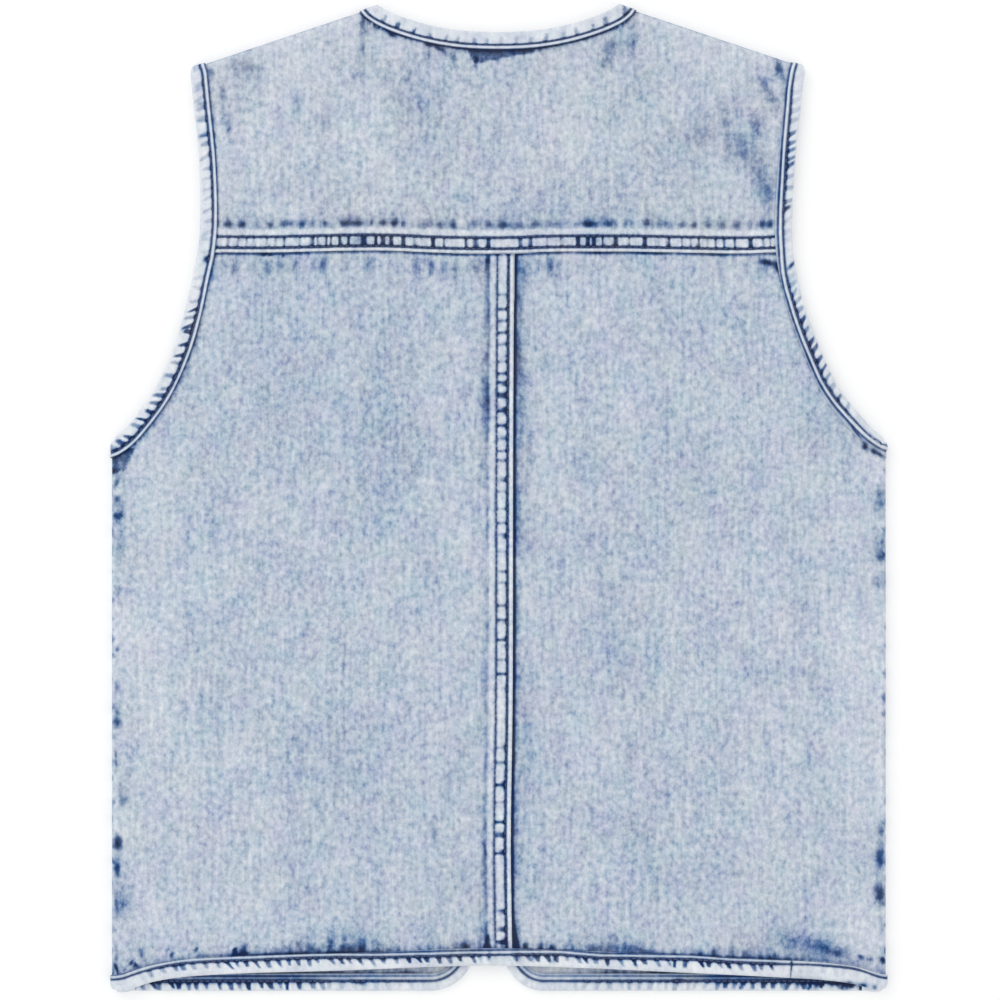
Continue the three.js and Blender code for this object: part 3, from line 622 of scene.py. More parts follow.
# Washed denim: vertical speckle of worn yarn over mottled dye, on a fine twill
def washed_denim_group():
    group = bpy.data.node_groups.new("washed denim", "ShaderNodeTree")
    for label, kind in (
        ("Indigo", "NodeSocketFloat"), ("Inner", "NodeSocketFloat"), ("Base", "NodeSocketFloat"),
        ("Grain", "NodeSocketFloat"), ("Mottle", "NodeSocketFloat"),
    ):
        group.interface.new_socket(label, in_out="INPUT", socket_type=kind)
    for label, kind in (
        ("Color", "NodeSocketColor"), ("Roughness", "NodeSocketFloat"), ("Height", "NodeSocketFloat"),
    ):
        group.interface.new_socket(label, in_out="OUTPUT", socket_type=kind)
    nodes, links = group.nodes, group.links
    inputs = nodes.new("NodeGroupInput")
    outputs = nodes.new("NodeGroupOutput")
    place = nodes.new("ShaderNodeTexCoord")

    def join(source, target):
        links.new(source, target)

    def math_node(kind, first, second, third=None):
        node = nodes.new("ShaderNodeMath")
        node.operation = kind
        for socket, value in zip(node.inputs, (first, second, third)):
            if isinstance(value, (int, float)):
                socket.default_value = value
            elif value is not None:
                join(value, socket)
        return node.outputs[0]

    def noise(stretch, scale, detail, roughness, shift):
        mapping = nodes.new("ShaderNodeMapping")
        mapping.inputs["Scale"].default_value = stretch
        mapping.inputs["Location"].default_value = (shift, shift * 0.7, 0.0)
        join(place.outputs["Object"], mapping.inputs["Vector"])
        node = nodes.new("ShaderNodeTexNoise")
        node.inputs["Scale"].default_value = scale
        node.inputs["Detail"].default_value = detail
        node.inputs["Roughness"].default_value = roughness
        join(mapping.outputs["Vector"], node.inputs["Vector"])
        return math_node("SUBTRACT", node.outputs["Fac"], 0.5)

    yarn_share = 0.35
    hue_spread = 0.12
    twill_pitch = 0.0011
    twill_slope = 0.62
    speckle = noise((1.0, 0.82, 1.0), scale=330.0, detail=2.0, roughness=0.6, shift=0.31)
    yarn = noise((1.0, 0.09, 1.0), scale=420.0, detail=1.0, roughness=0.5, shift=0.77)
    mottle = noise((1.0, 0.7, 1.0), scale=26.0, detail=3.0, roughness=0.55, shift=0.13)
    tint = noise((1.0, 0.8, 1.0), scale=90.0, detail=3.0, roughness=0.5, shift=0.59)
    depth = noise((1.0, 0.8, 1.0), scale=70.0, detail=2.0, roughness=0.5, shift=0.91)
    # Where the cloth holds much dye, its speckle and its change of hue are weaker
    held = math_node("MAXIMUM", inputs.outputs["Indigo"], 0.0)
    held = math_node("MINIMUM", held, 0.5)
    liveliness = math_node("MULTIPLY_ADD", held, -0.5, 1.0)
    grain = math_node("MULTIPLY", liveliness, inputs.outputs["Grain"])
    amount = math_node("ADD", inputs.outputs["Base"], inputs.outputs["Indigo"])
    amount = math_node("MULTIPLY_ADD", speckle, grain, amount)
    amount = math_node("MULTIPLY_ADD", yarn, math_node("MULTIPLY", grain, yarn_share), amount)
    amount = math_node("MULTIPLY_ADD", mottle, inputs.outputs["Mottle"], amount)
    share = nodes.new("ShaderNodeMapRange")
    share.inputs["From Min"].default_value = -0.4
    share.inputs["From Max"].default_value = 1.1
    join(amount, share.inputs["Value"])
    dye = nodes.new("ShaderNodeValToRGB")
    dye_stops = (
        (0.0, (238, 240, 244)), (0.167, (219, 225, 232)), (0.3, (201, 208, 220)), (0.4, (184, 195, 210)),
        (0.5, (163, 177, 197)), (0.6, (131, 150, 180)), (0.7, (92, 115, 157)), (0.8, (52, 79, 123)),
        (1.0, (19, 36, 73)),
    )
    ramp = dye.color_ramp.elements
    for stop, (position, colour) in zip(ramp, (dye_stops[0], dye_stops[-1])):
        stop.position, stop.color = position, paint(*colour)
    for position, colour in dye_stops[1:-1]:
        ramp.new(position).color = paint(*colour)
    join(share.outputs["Result"], dye.inputs["Fac"])
    hue = nodes.new("ShaderNodeHueSaturation")
    tint = math_node("MULTIPLY", tint, math_node("MULTIPLY_ADD", held, -1.7, 1.0))
    join(math_node("MULTIPLY_ADD", tint, hue_spread, 0.499), hue.inputs["Hue"])
    saturation = math_node("MULTIPLY_ADD", inputs.outputs["Inner"], -0.3, 1.0)
    join(math_node("MULTIPLY_ADD", depth, 0.9, saturation), hue.inputs["Saturation"])
    join(dye.outputs["Color"], hue.inputs["Color"])
    join(hue.outputs["Color"], outputs.inputs["Color"])
    join(math_node("MULTIPLY_ADD", speckle, -0.12, 0.88), outputs.inputs["Roughness"])
    split = nodes.new("ShaderNodeSeparateXYZ")
    join(place.outputs["Object"], split.inputs["Vector"])
    slope = math_node("MULTIPLY_ADD", split.outputs["Y"], twill_slope, split.outputs["X"])
    twill = math_node("SINE", math_node("MULTIPLY", slope, 2 * math.pi / twill_pitch), 0.0)
    height = math_node("MULTIPLY_ADD", twill, 0.22, math_node("MULTIPLY", speckle, -1.6))
    join(height, outputs.inputs["Height"])
    return group


washed_denim_effect = washed_denim_group()


def denim_material(name, base, grain, mottle):
    """A matt cotton with a short nap, coloured by the washed denim effect."""
    material = bpy.data.materials.new(name)
    material.use_nodes = True
    nodes, links = material.node_tree.nodes, material.node_tree.links
    shader = nodes["Principled BSDF"]
    shader.inputs["Specular IOR Level"].default_value = 0.25
    shader.inputs["Sheen Weight"].default_value = 0.12
    shader.inputs["Sheen Roughness"].default_value = 0.5
    effect = nodes.new("ShaderNodeGroup")
    effect.node_tree = washed_denim_effect
    effect.inputs["Base"].default_value = base
    effect.inputs["Grain"].default_value = grain
    effect.inputs["Mottle"].default_value = mottle
    for label, mark in (("Indigo", "indigo"), ("Inner", "inner")):
        read = nodes.new("ShaderNodeAttribute")
        read.attribute_name = mark
        links.new(read.outputs["Fac"], effect.inputs[label])
    bump = nodes.new("ShaderNodeBump")
    bump.inputs["Strength"].default_value = 0.5
    bump.inputs["Distance"].default_value = 0.0003
    links.new(effect.outputs["Height"], bump.inputs["Height"])
    links.new(bump.outputs["Normal"], shader.inputs["Normal"])
    links.new(effect.outputs["Color"], shader.inputs["Base Color"])
    links.new(effect.outputs["Roughness"], shader.inputs["Roughness"])
    return material


panel_denim = denim_material("washed panel denim", base=0.215, grain=1.0, mottle=0.27)
# The wrong side holds dark dye that is partly painted shade: it stands in for the shade beneath the back hem,
# where the fronts' wrong side shows
wrong_side_dye_and_shade = 0.44

# Where the wash left dye on the lower panels, or took more of it off, as seen in the picture, and a few
# painted shadows under the edge of the yoke's lap: each stain has its place, its two sizes, its turn in
# degrees and its depth
panel_stains_and_shadows = (
    (-229.5, 9.6, 5, 1.6, 60, 0.6), (-229.3, -0.6, 2.4, 2.2, 0, 0.6), (-229.3, -11, 3, 2, 0, 0.7),
    (-227.5, -7, 9, 4, 90, 0.32), (-228, -30, 11, 3, 90, 0.35), (-228.8, -57, 6, 2.4, 90, 0.42),
    (-229.5, -91, 1.8, 1.4, 0, 0.6), (-229.3, -114, 3.4, 1.6, 90, 0.4), (-229.3, -130, 7, 2, 90, 0.4),
    (-229.3, -135, 2.6, 2.4, 0, 0.6), (-230, -156, 6, 1, 90, 0.5), (-226.6, -178, 12, 3.4, 90, 0.32),
    (-225.5, -182, 3, 2, 0, 0.3), (-229, -207, 4.4, 2.8, 90, 1.1), (-229.3, -222, 7, 2.4, 90, 0.75),
    (-225.5, -243, 10, 5, 80, 0.34), (-229.8, -243, 8, 1.4, 90, 0.4), (-229.5, -275, 7, 1.4, 90, 0.4),
    (-231.2, 16.2, 2.2, 2.0, 0, 0.5), (-224, 9.4, 2.0, 0.8, -20, 0.5),
    (219.3, 30.8, 2.6, 2.0, -35, 1.0), (225, 28.2, 2.2, 1.8, -45, 1.0),
    (228.4, 25.4, 2.8, 0.9, -40, 0.7), (227.4, -1, 9, 4.2, 90, 0.5), (228.2, -29, 9, 3.6, 90, 0.42),
    (228.4, -35.5, 3, 2.8, 0, 0.5), (227.6, -50, 4.4, 3.6, 90, 0.38), (229, -92, 4, 1.6, 90, 0.25),
    (228.8, -199, 6, 2.6, 90, 0.55), (228.2, -215.5, 7, 3, 90, 0.8), (228.2, -237.6, 7, 3.2, 90, 1.0),
    (229.4, -257, 5, 1.6, 90, 0.35), (229.5, -277, 7, 1.4, 90, 0.4), (193.5, -269.4, 5, 2.8, -12, 0.34),
    (204.5, -272.8, 5.5, 2.4, -6, 0.36), (-229.8, -282.3, 3.8, 0.9, -70, 0.9),
    (-219.5, -279.3, 3.6, 1.0, -35, 1.0), (-224.1, -281.7, 4.0, 0.5, 54, 0.5),
    (-214.8, -273, 3.4, 1.4, -70, 0.6), (-197, -273, 3.6, 0.7, -61, 0.7),
    (-182, -270.9, 4.2, 0.7, -65, 0.7), (-173.5, -274.2, 14, 0.8, 2, 0.2),
    (216.6, -275.4, 2.0, 1.3, -30, 0.9), (222.6, -276.2, 2.0, 1.0, -10, 0.8),
    (230.6, -277.6, 2.6, 1.3, -30, 0.9), (-20, -269.4, 2.6, 2.0, 90, 0.6),
    (1.8, -267, 3.4, 1.6, 84, 0.7), (9.9, -262, 10, 2.6, 94, 0.25), (15.3, -269, 2.4, 1.0, 90, 0.6),
    (24.9, -269, 2.8, 1.3, 84, 0.6), (30.9, -269.6, 2.2, 1.0, 96, 0.6),
    # The first three marks from here, near y 146, are painted shadows under the edge of the yoke's lap
    (-141.6, 146.2, 1.2, 0.8, 0, 0.8), (-137.3, 146.0, 1.2, 0.8, 0, 0.8),
    (-129.3, 145.6, 1.4, 0.9, 80, 0.8), (160.5, 141.8, 5, 1.7, -14, 0.9),
    (167.2, 138.2, 4, 1.6, -58, 0.8), (170.5, 131, 7, 2.2, -66, 0.35), (-6.9, 143.4, 2.6, 1.6, 88, 0.8),
    (-9, -262, 12, 4.0, 84, 0.3), (-9, 60, 18, 3.4, 90, 0.35), (-9.5, 20, 14, 3, 90, 0.22),
    (-9, -210, 24, 3, 90, 0.25), (-10, -120, 22, 2.6, 90, 0.15), (12.5, 90, 50, 3, 90, 0.22),
    (16, 20, 50, 5, 90, 0.15), (17, -150, 50, 5, 90, 0.15), (-7, 108, 24, 2.4, 90, 0.26),
    (-7, 58, 16, 2.2, 90, 0.3), (-7.5, -236, 16, 2.4, 90, 0.2), (15.5, 133, 6, 2.4, 90, 0.14),
    (-60, 30, 50, 22, 70, 0.07), (-90, 66, 80, 60, 90, 0.04), (90, 66, 80, 60, 90, 0.02),
    (60, -60, 60, 24, 100, 0.06), (-130, 70, 40, 16, 60, 0.06), (-140, 108, 20, 12, 70, 0.08),
    (-208, -100, 90, 14, 90, -0.13), (210, -110, 90, 15, 90, -0.13), (216, -262, 18, 11, 90, -0.14),
    (-206, -250, 16, 9, 90, -0.12), (120, 100, 26, 14, -60, 0.06), (-100, -150, 46, 20, 80, 0.05),
    (90, -200, 40, 22, 95, 0.04), (182, -266.5, 20, 6, -7, 0.34), (200, -272, 9, 3, -12, 0.26),
    (-229, 16.2, 4.5, 0.9, 8, 0.3),
)
# Patches with sharp edges: corners and depth
panel_blots = (
    (((-232.9, 14.8), (-224.4, 17.2), (-219.0, 29.6), (-232.9, 33.0)), 0.56),
    (((-160.6, -274.6), (-156.8, -274.2), (-157.4, -270.4), (-160.0, -270.0)), 0.8),
    (((-155.4, -274.2), (-151.2, -274.0), (-152.0, -268.2), (-154.6, -268.0)), 0.35),
    (((-155.4, -274.2), (-150.2, -274.0), (-150.2, -272.4), (-155.4, -272.6)), 0.4),
    (((-9.6, -272.0), (-4.6, -272.0), (-6.0, -262.0), (-7.6, -262.0)), 0.7),
    (((7.8, -272.0), (12.4, -272.0), (10.2, -262.0), (8.4, -254.0)), 0.7),
)
# How strong the fringe of dye and the painted shadow line along the hem are at each of these places, from
# left to right
hem_fringe_places = (-233, -190, -168, -150, -95, -60, -25, 0, 25, 60, 110, 150, 190, 205, 215, 233)
hem_fringe = (0.1, 0.2, 0.6, 1.0, 1.0, 0.8, 0.9, 0.7, 0.9, 0.7, 0.8, 0.9, 0.35, 0.3, 0.2, 0.15)
# Flames of dye that rise from the hem: place along it, half width, height and depth
hem_flames = (
    (-158.1, 1.5, 4.8, 0.5), (-153.3, 1.8, 7, 0.5), (-145.5, 1.2, 6, 0.35), (-138.9, 2.6, 2, 0.3),
    (-132.9, 2.2, 4, 0.45), (-125.7, 2.0, 5, 0.65), (-120.3, 1.8, 7, 0.7), (-114.9, 2.2, 6.5, 0.6),
    (-109.5, 2.2, 5, 0.4), (-101.1, 2.8, 10, 0.6), (-92.7, 2.6, 9, 0.6), (-87.3, 1.8, 5.5, 0.6),
    (-82.5, 3.0, 10, 0.6), (-74.1, 1.4, 6, 0.45), (-66, 5, 2.4, 0.25), (-60.9, 1.6, 2, 0.35),
    (-47.7, 1.8, 2.4, 0.35), (-38, 3, 8, 0.12), (-27, 2, 2.5, 0.3), (-21.5, 3.4, 4, 0.6),
    (15.3, 1.5, 3.5, 0.6), (24.3, 1.6, 2, 0.4), (31.5, 1.6, 2.6, 0.4), (43, 4, 7, 0.3), (56, 4.2, 4.5, 0.5),
    (67, 5.5, 7, 0.5), (79, 6, 5, 0.6), (89, 5, 3, 0.5), (104, 1, 3, 0.3), (119.5, 4, 3, 0.35),
    (128.9, 2.2, 5.5, 0.6), (139.4, 2.6, 6, 0.6), (148.8, 2.6, 5.5, 0.6), (156.3, 2.4, 3, 0.35),
    (163, 2.6, 3, 0.4),
)
# Soft patches under the lap of the yoke, as seen in the picture: place, half width and depth
lap_patches = (
    (-164.9, 1.5, 0.5), (-158, 1.8, 0.7), (-147, 1.6, 0.7), (-139, 2.2, 0.6), (-131.8, 2.2, 0.5),
    (-122, 1.6, 0.5), (-111, 1.4, 0.35), (-106, 1.6, 0.8), (-92.7, 2.0, 0.35), (-78.5, 2.6, 0.5),
    (-65, 1.6, 0.3), (-49.8, 1.5, 0.55), (-41, 1.4, 0.8), (-32.7, 2.0, 0.6), (-26.7, 1.6, 0.45),
    (-13.5, 2.8, 0.6), (-6.9, 1.6, 0.35), (14.5, 3.0, 0.4), (23.7, 2.0, 0.4), (30.3, 1.8, 0.9),
    (36, 1.5, 0.4), (60, 1.4, 0.25), (75, 1.4, 0.2), (100, 1.2, 0.2), (117, 1.2, 0.25), (131, 1.4, 0.3),
    (148, 1.6, 0.3), (159, 3.0, 0.5),
)

# The rungs puckered between the rows of the middle seam: place up the back, half height, depth
seam_rungs = (
    (129.8, 1.6, 0.25), (121.8, 2.4, 0.4), (113.8, 1.6, 0.9), (106.3, 1.8, 0.6), (99.3, 1.3, 0.75),
    (92.8, 1.6, 0.5), (85.8, 1.2, 0.3), (81.3, 1.3, 0.5), (74.8, 1.3, 0.8), (68.8, 2.0, 0.9),
    (61.8, 2.8, 1.0), (52.3, 3.0, 1.0), (43.3, 2.4, 0.9), (35.4, 1.6, 0.5), (28.3, 1.6, 0.5),
    (22.8, 1.6, 0.5), (11.4, 1.5, 0.8), (3.3, 1.6, 0.35), (-6.2, 1.6, 0.4), (-15.2, 1.7, 0.6),
    (-22.7, 1.7, 0.7), (-31.7, 1.4, 0.3), (-44.7, 1.3, 0.75), (-51.6, 1.6, 0.6), (-64.7, 2.4, 0.7),
    (-73.7, 1.8, 0.7), (-84.6, 1.8, 0.8), (-89.2, 1.3, 0.4), (-96.6, 1.5, 0.5), (-105.6, 1.8, 0.8),
    (-113.7, 1.3, 0.25), (-150, 2.6, 0.45), (-158.7, 1.6, 0.5), (-172.2, 2.6, 1.0), (-182.2, 1.5, 0.4),
    (-194.2, 1.7, 1.0), (-202.2, 2.2, 0.85), (-213, 2.4, 0.9), (-248.2, 1.7, 0.7), (-258.6, 2.0, 0.8),
    (-266.2, 2.2, 0.8),
)

# Rows of points lie close together where a binding, a fold or a seam marks the cloth
near_binding = (0, 2.5, 5.2, 7.2, 7.9, 8.4, 8.9, 9.5, 10.3, 11.3, 12.5, 13.9, 15.5, 17.3)
near_lap = (
    0, 0.3, 0.8, 1.3, 1.8, 2.4, 2.8, 3.1, 3.4, 3.7, 4.3, 5.2, 6.2, 7.2, 8.1, 8.9, 9.5, 9.8, 10.1, 10.4,
    10.9, 11.6, 12.4, 13.2, 14.0, 14.7, 15.5, 16.5, 18.0,
)
near_butt = (0, 0.5, 1.0, 1.6, 2.3, 3.1, 4.0, 5.0, 6.0, 7.0, 8.2, 9.6, 11.2)
# Cells between those margins: across a panel, and up it below and above the armhole's foot
panel_columns = steps_of(190, 2.0)
lower_rows = {"left": steps_of(280, 1.7), "right": steps_of(280, 2.0)}
upper_rows = steps_of(100, 1.8)
# Ways in from a fold line, through the fold and on beneath
flat_from_fold = 8.0
before_fold = [flat_from_fold, 6.6, 5.2, 4.2]
round_fold = np.linspace(fold_strip, -fold_strip, 13)
side_levels = np.concatenate([before_fold, round_fold, np.linspace(-4.2, -side_cut, 12)])
lap_stitches = {"near": 3.4, "far": 10.1}
seam_stitches = {"near": 2.7, "far": 9.4}


def yoke_wave(x):
    """The yoke seam isn't quite straight: it wanders up and down by under a millimetre."""
    at = (-175, -160, -137, -113, -89, -65, -41, -17, 7, 31, 55, 79, 103, 127, 150, 168)
    up = (0.0, -0.3, -0.3, 0.3, 0.9, 0.9, -0.3, -0.8, -0.8, 0.3, 0.3, 0.3, -0.2, -0.7, -1.0, 0.0)
    spread = np.linspace(-9, 9, 7)
    return np.mean([np.interp(x + s, at, up) for s in spread], axis=0)


def waved(points):
    moved = points.copy()
    moved[:, 1] += yoke_wave(points[:, 0]) * fall(np.abs(points[:, 1] - yoke_seam), 9, 34)
    return moved


def sewn_panel(name, cut, over, under, dye, wrong, greyness=0.0):
    """A panel from the places of its right and wrong side and the dye on each of them."""
    points, quads = wall(cut.cells, over, under)
    return sewn_object(name, points, [quads], panel_denim, {
        "indigo": np.concatenate([dye, wrong]),
        "inner": np.repeat([greyness, 1.0], len(over)),
    })


hem_inset = back_hem.inset(edge_inset, hem_hand)
hem_line = np.array(hem_rows)
flames = [
    (x, np.interp(x, *hem_line.T) + binding_width + 0.5 * high, 0.85 * high, wide, 90, 0.7 * deep)
    for x, wide, high, deep in hem_flames
]
# How far above the corners of the hem the middle seam meets its arch
seam_foot_rise = 19
# Runs up the sides and along the shoulders are counted from this far before the vest's middle,
# and the puckers of a side are drawn over this length
run_shift = 300
side_run = 480
lap_foot = 15.6
# How dark the painted shadow under the edge of the centre lap is
lap_shadow_depth = 0.9
panel_seed = {"left": 10, "right": 20}
panels = {}
for side in sides:
    out = sign[side]
    fold = folds["side_" + side]
    panel_top = yoke_seam - clearance
    armhole = back_armhole[side].inset(edge_inset, armhole_hand[side])
    middle = Line(back_seam.points + (0 if side == "left" else clearance, 0))

    def on_hem(x):
        return hem_inset.where(lambda p: p[:, 0] - x)

    def on_armhole(a):
        return armhole.where(lambda p: fold.inside(p) - a)

    def middle_at(y):
        return middle.where(lambda p: p[:, 1] - y)

    corner = armhole.at(on_armhole(flat_from_fold))
    keep_x = out * (fold.reach - flat_from_fold)
    seam_foot = middle.at(middle_at(hem_level + seam_foot_rise))[0]
    hem_run = hem_inset.where(lambda p: p[:, 0] - seam_foot)
    hem_corner = hem_inset.at(hem_run)
    if side == "left":
        hem_part = hem_inset.part(on_hem(keep_x), hem_run)
    else:
        hem_part = hem_inset.part(hem_run, on_hem(keep_x)).reversed()
    waist = middle_at(corner[1])
    lower_middle = middle.part(waist, middle_at(hem_corner[1])).reversed()
    lower_middle = Line(np.vstack([hem_corner, lower_middle.points[1:]]))
    upper_middle = middle.part(middle_at(panel_top), waist).reversed()
    seam_margin = near_lap if side == "left" else near_butt
    widths = (near_binding, seam_margin, panel_columns)
    heights = (near_binding, near_binding, lower_rows[side])
    level = Line([corner, middle.at(waist)])
    outer_side = Line([hem_inset.at(on_hem(keep_x)), corner])
    cut = Cut()
    cut.net(patch(hem_part, level, outer_side, lower_middle, widths, heights))
    armhole_top = armhole.where(lambda p: p[:, 1] - panel_top)
    armhole_up = armhole.part(armhole_top, on_armhole(flat_from_fold)).reversed()
    top = Line([armhole_up.points[-1], middle.at(middle_at(panel_top))])
    cut.net(patch(level, top, armhole_up, upper_middle, widths, ((0,), near_butt, upper_rows)))
    low = np.array([hem_inset.at(on_hem(out * (fold.reach - a))) for a in side_levels])
    high = np.array([corner, *(armhole.at(on_armhole(a)) for a in side_levels[1:])])
    share = shares(np.linalg.norm(high - low, axis=1), *heights)[..., None]
    cut.net(low[:, None] + (high - low)[:, None] * share)
    cut.close()

    points = cut.points
    seed = panel_seed[side]
    to_armhole, armhole_place = back_armhole[side].nearest(points)
    to_hem, hem_place = back_hem.nearest(points)
    to_edge = np.minimum(to_armhole, to_hem)
    inward = fold.inside(points)
    order = np.argsort(middle.points[:, 1])
    lap = np.interp(points[:, 1], middle.points[order, 1], middle.points[order, 0]) - points[:, 0]
    below_yoke = yoke_seam - points[:, 1]

    stray = strayed(points, 1)
    # Beside the armhole and hem bindings the panel gets dashes of dye and a painted shadow line with a soft
    # painted halo
    armhole_dye_and_shade, armhole_relief = edge_marks(
        to_armhole - stray, armhole_place, seed + 1, line=0.4, wedge_share=0.12)
    fringe = np.interp(points[:, 0], hem_fringe_places, hem_fringe)
    hem_dye_and_shade, hem_relief = edge_marks(
        to_hem - stray, hem_place, seed + 2, line=0.6 * fringe, wedge_share=0.35 * fringe,
        pitch=4.8, reach=(3, 9), half_size=(0.9, 1.8), halo=(0.2, 4.0))
    hem_dye_and_shade = hem_dye_and_shade + mounds(points, flames)
    under_yoke = mounds(points, [
        (x, yoke_seam - 8.5, 1.3 * wide, 5.0, 0, deep) for x, wide, deep in lap_patches])
    yoke_shadow = streak(below_yoke - 0.8, 0.95) * drift(points[:, 0], 9, 0.5, 1.0, seed + 5)
    run = points[:, 1] + run_shift
    side_rows = wedges(
        side_run, pitch=13, half_size=(2.0, 6.0), reach=(1.6, 4.0), slant=0.0, seed=seed + 6)
    side_dye = 0.45 * puckered(run, np.maximum(inward, 0), side_rows) * (inward > -3)
    side_squares = wedges(
        side_run, pitch=7.0, half_size=(0.9, 1.9), reach=(3, 7), slant=0.0, seed=seed + 7)
    felled_relief, felled_dye = felled(side_cut + inward, run, side_squares, *seam_stitches.values())
    beneath = inward < 0
    relief = np.where(beneath, felled_relief, 0)
    dye = np.where(beneath, felled_dye, 0)
    if side == "left":
        # The row near the foot of the lap holds less dye, and a spotted dark line runs along the foot
        rungs = placed_wedges([(y + run_shift, high, deep) for y, high, deep in seam_rungs], reach=10.0)
        lap_relief, lap_dye = felled(lap, run, rungs, *lap_stitches.values())
        faint = 1 - 0.55 * streak(lap - lap_stitches["far"], 1.0)
        relief = np.where(lap < seam_width, lap_relief, relief)
        dye = np.where(lap < seam_width, lap_dye * faint, dye)
        dye = dye + 0.34 * streak(lap - lap_foot, 1.1) * drift(run, 7, 0.0, 1.0, seed + 9)
    else:
        # A painted shadow line on the right panel under the edge of the lap, and a softer darkening beside it
        # that fades away from the seam
        dye = dye + lap_shadow_depth * streak(lap + 0.5, 1.0)
        dye = dye + 0.36 * streak(lap + 2.2, 2.4) * drift(run, 20, 0.2, 1.0, seed + 9)
    dye = dye + armhole_dye_and_shade + hem_dye_and_shade + side_dye + 0.6 * under_yoke + 0.85 * yoke_shadow
    dye = dye + mounds(points, panel_stains_and_shadows) + blots(points, panel_blots) - 0.1 * streak(inward - 4, 6)
    relief = clear_of(to_edge) * relief + armhole_relief + hem_relief - 0.2 * under_yoke

    height = back_height(points, to_edge)
    placed = waved(points)
    over, under = (place_back(placed, off, height) for off in (half + relief, -half))
    wrong = wrong_side_dye_and_shade + 0.35 * (armhole_dye_and_shade + hem_dye_and_shade)
    panels[side] = sewn_panel("back_panel_" + side, cut, over, under, dye, wrong)
    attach(panels[side], "root")
    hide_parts("back_" + side)

# Back yoke
# One piece of the same denim, cut across the shoulders. It laps over the lower panels in
# a felled seam with two rows of stitches, goes over both shoulders, and is felled again
# to the fronts a little forward of the shoulder.
neck_middle = -1.0
neck_point = 72.0
neck_rows = ((0, 279.6), (22, 280.6), (40, 283.6), (56, 288.2), (65, 291.8), (70.5, 294.8))
past_neck = ((forward_shoulder, 0), (17, 0.05), (12, 0.9), (6, 1.6), (2.2, 1.1))
neck_hand = -1
shoulder_cut = forward_shoulder - clearance / 2
neck_ends = {}
past_neck_knots = {}
for side in sides:
    neck_x = neck_middle + sign[side] * neck_point
    neck_ends[side] = np.array([neck_x, shoulder_peak - shoulder_slope * neck_point])
    fold = folds["shoulder_" + side]
    aside = (sign[side] * fold.out[1], -abs(fold.out[0]))
    past_neck_knots[side] = fold.slanting(neck_ends[side], past_neck, aside)
back_neck = curve_through([
    *past_neck_knots["left"],
    *((neck_middle - x, y) for x, y in neck_rows[:0:-1]),
    *((neck_middle + x, y) for x, y in neck_rows),
    *past_neck_knots["right"][::-1],
])
# Stains, patches and rungs as on the panels
yoke_stains = (
    (0, 220, 500, 500, 0, 0.02), (-140, 222, 44, 28, 90, -0.04),
    (-81.9, 285.6, 3.0, 2.0, 60, 0.5), (-80.7, 280.2, 2.6, 2.0, 0, 0.5), (-74.1, 283.2, 2.4, 1.8, 60, 0.5),
    (-64.4, 278.4, 2.6, 1.6, -40, 0.9), (-42.9, 272.2, 2.0, 1.4, -20, 0.7), (-42.3, 265.8, 5.0, 1.2, 86, 0.4),
    (-36.2, 269.6, 5.0, 1.2, -30, 0.7), (-27.3, 264, 3.0, 1.2, 80, 0.5), (-14.1, 262, 3.4, 1.2, 84, 0.6),
    (-82.5, 281, 9, 1, 90, 0.3), (-166.5, 243, 6, 2.4, 86, 0.44), (-162.3, 220.8, 3.6, 1.6, 84, 0.2),
    (-173.7, 256.2, 2.6, 1.8, -20, 0.5), (-153.6, 258.3, 8, 4, -18, 0.2), (-166.5, 232, 6, 1.5, 90, 0.2),
    (168, 257.5, 5.5, 2.6, 100, 0.75), (158.4, 249, 5, 2.2, 110, 0.4), (164, 239, 8, 2.8, 110, 0.36),
    (154.4, 223, 8, 3.6, 100, 0.38), (135, 228, 10, 3.4, 100, 0.2), (144, 210, 10, 6.5, 120, 0.28),
    (156, 195, 16, 5.5, 105, 0.3), (161, 181, 10, 4.4, 100, 0.24), (67.4, 270, 6, 4, 60, 0.42),
    (79.6, 272, 5, 3.6, 60, 0.32), (64, 261, 4.6, 3.2, 40, 0.32), (80, 283, 8, 3, 90, 0.2),
    (68, 230, 10, 6, 60, 0.16), (121.6, 216, 9, 6, 90, 0.16), (171, 215, 24, 3, 95, -0.16),
    (-151, 259, 12, 7, -40, 0.18), (-163, 227, 8, 3.2, 90, 0.22), (-86, 253, 5, 3, 60, 0.25),
    (-122, 237.6, 5, 3, 80, 0.2), (-106.5, 226.8, 8, 5, 40, 0.18), (-167.5, 206, 42, 3.2, 90, -0.18),
    (-110, 215, 50, 34, 90, -0.04), (110, 215, 50, 34, 90, 0.02), (-82.5, 270, 4.4, 2, 90, 0.3),
    (-64.5, 255, 12, 8, 0, 0.12), (-53.7, 236, 10, 12, 90, 0.12),
    (-150, 215, 24, 10, 80, -0.05), (60, 220, 40, 14, 20, -0.05), (-40, 215, 40, 16, 100, 0.06),
    (110, 205, 30, 14, 80, 0.07), (-110, 190, 26, 12, 90, 0.07), (20, 180, 30, 9, 0, 0.05),
    (-84, 153.6, 16, 3.4, 0, 0.28), (53, 153.6, 9, 3.4, 0, 0.2), (-60, 153.6, 60, 3.4, 0, 0.08),
    (60, 153.6, 60, 3.4, 0, 0.08),
    (-120, 262, 30, 7, 18, -0.07), (120, 264, 30, 7, -18, -0.07),
)
yoke_blots = (
    (((-19.2, 270.4), (-17.5, 264.5), (-14.1, 260.8), (21.3, 267.4), (20.5, 270.8)), 0.54),
)
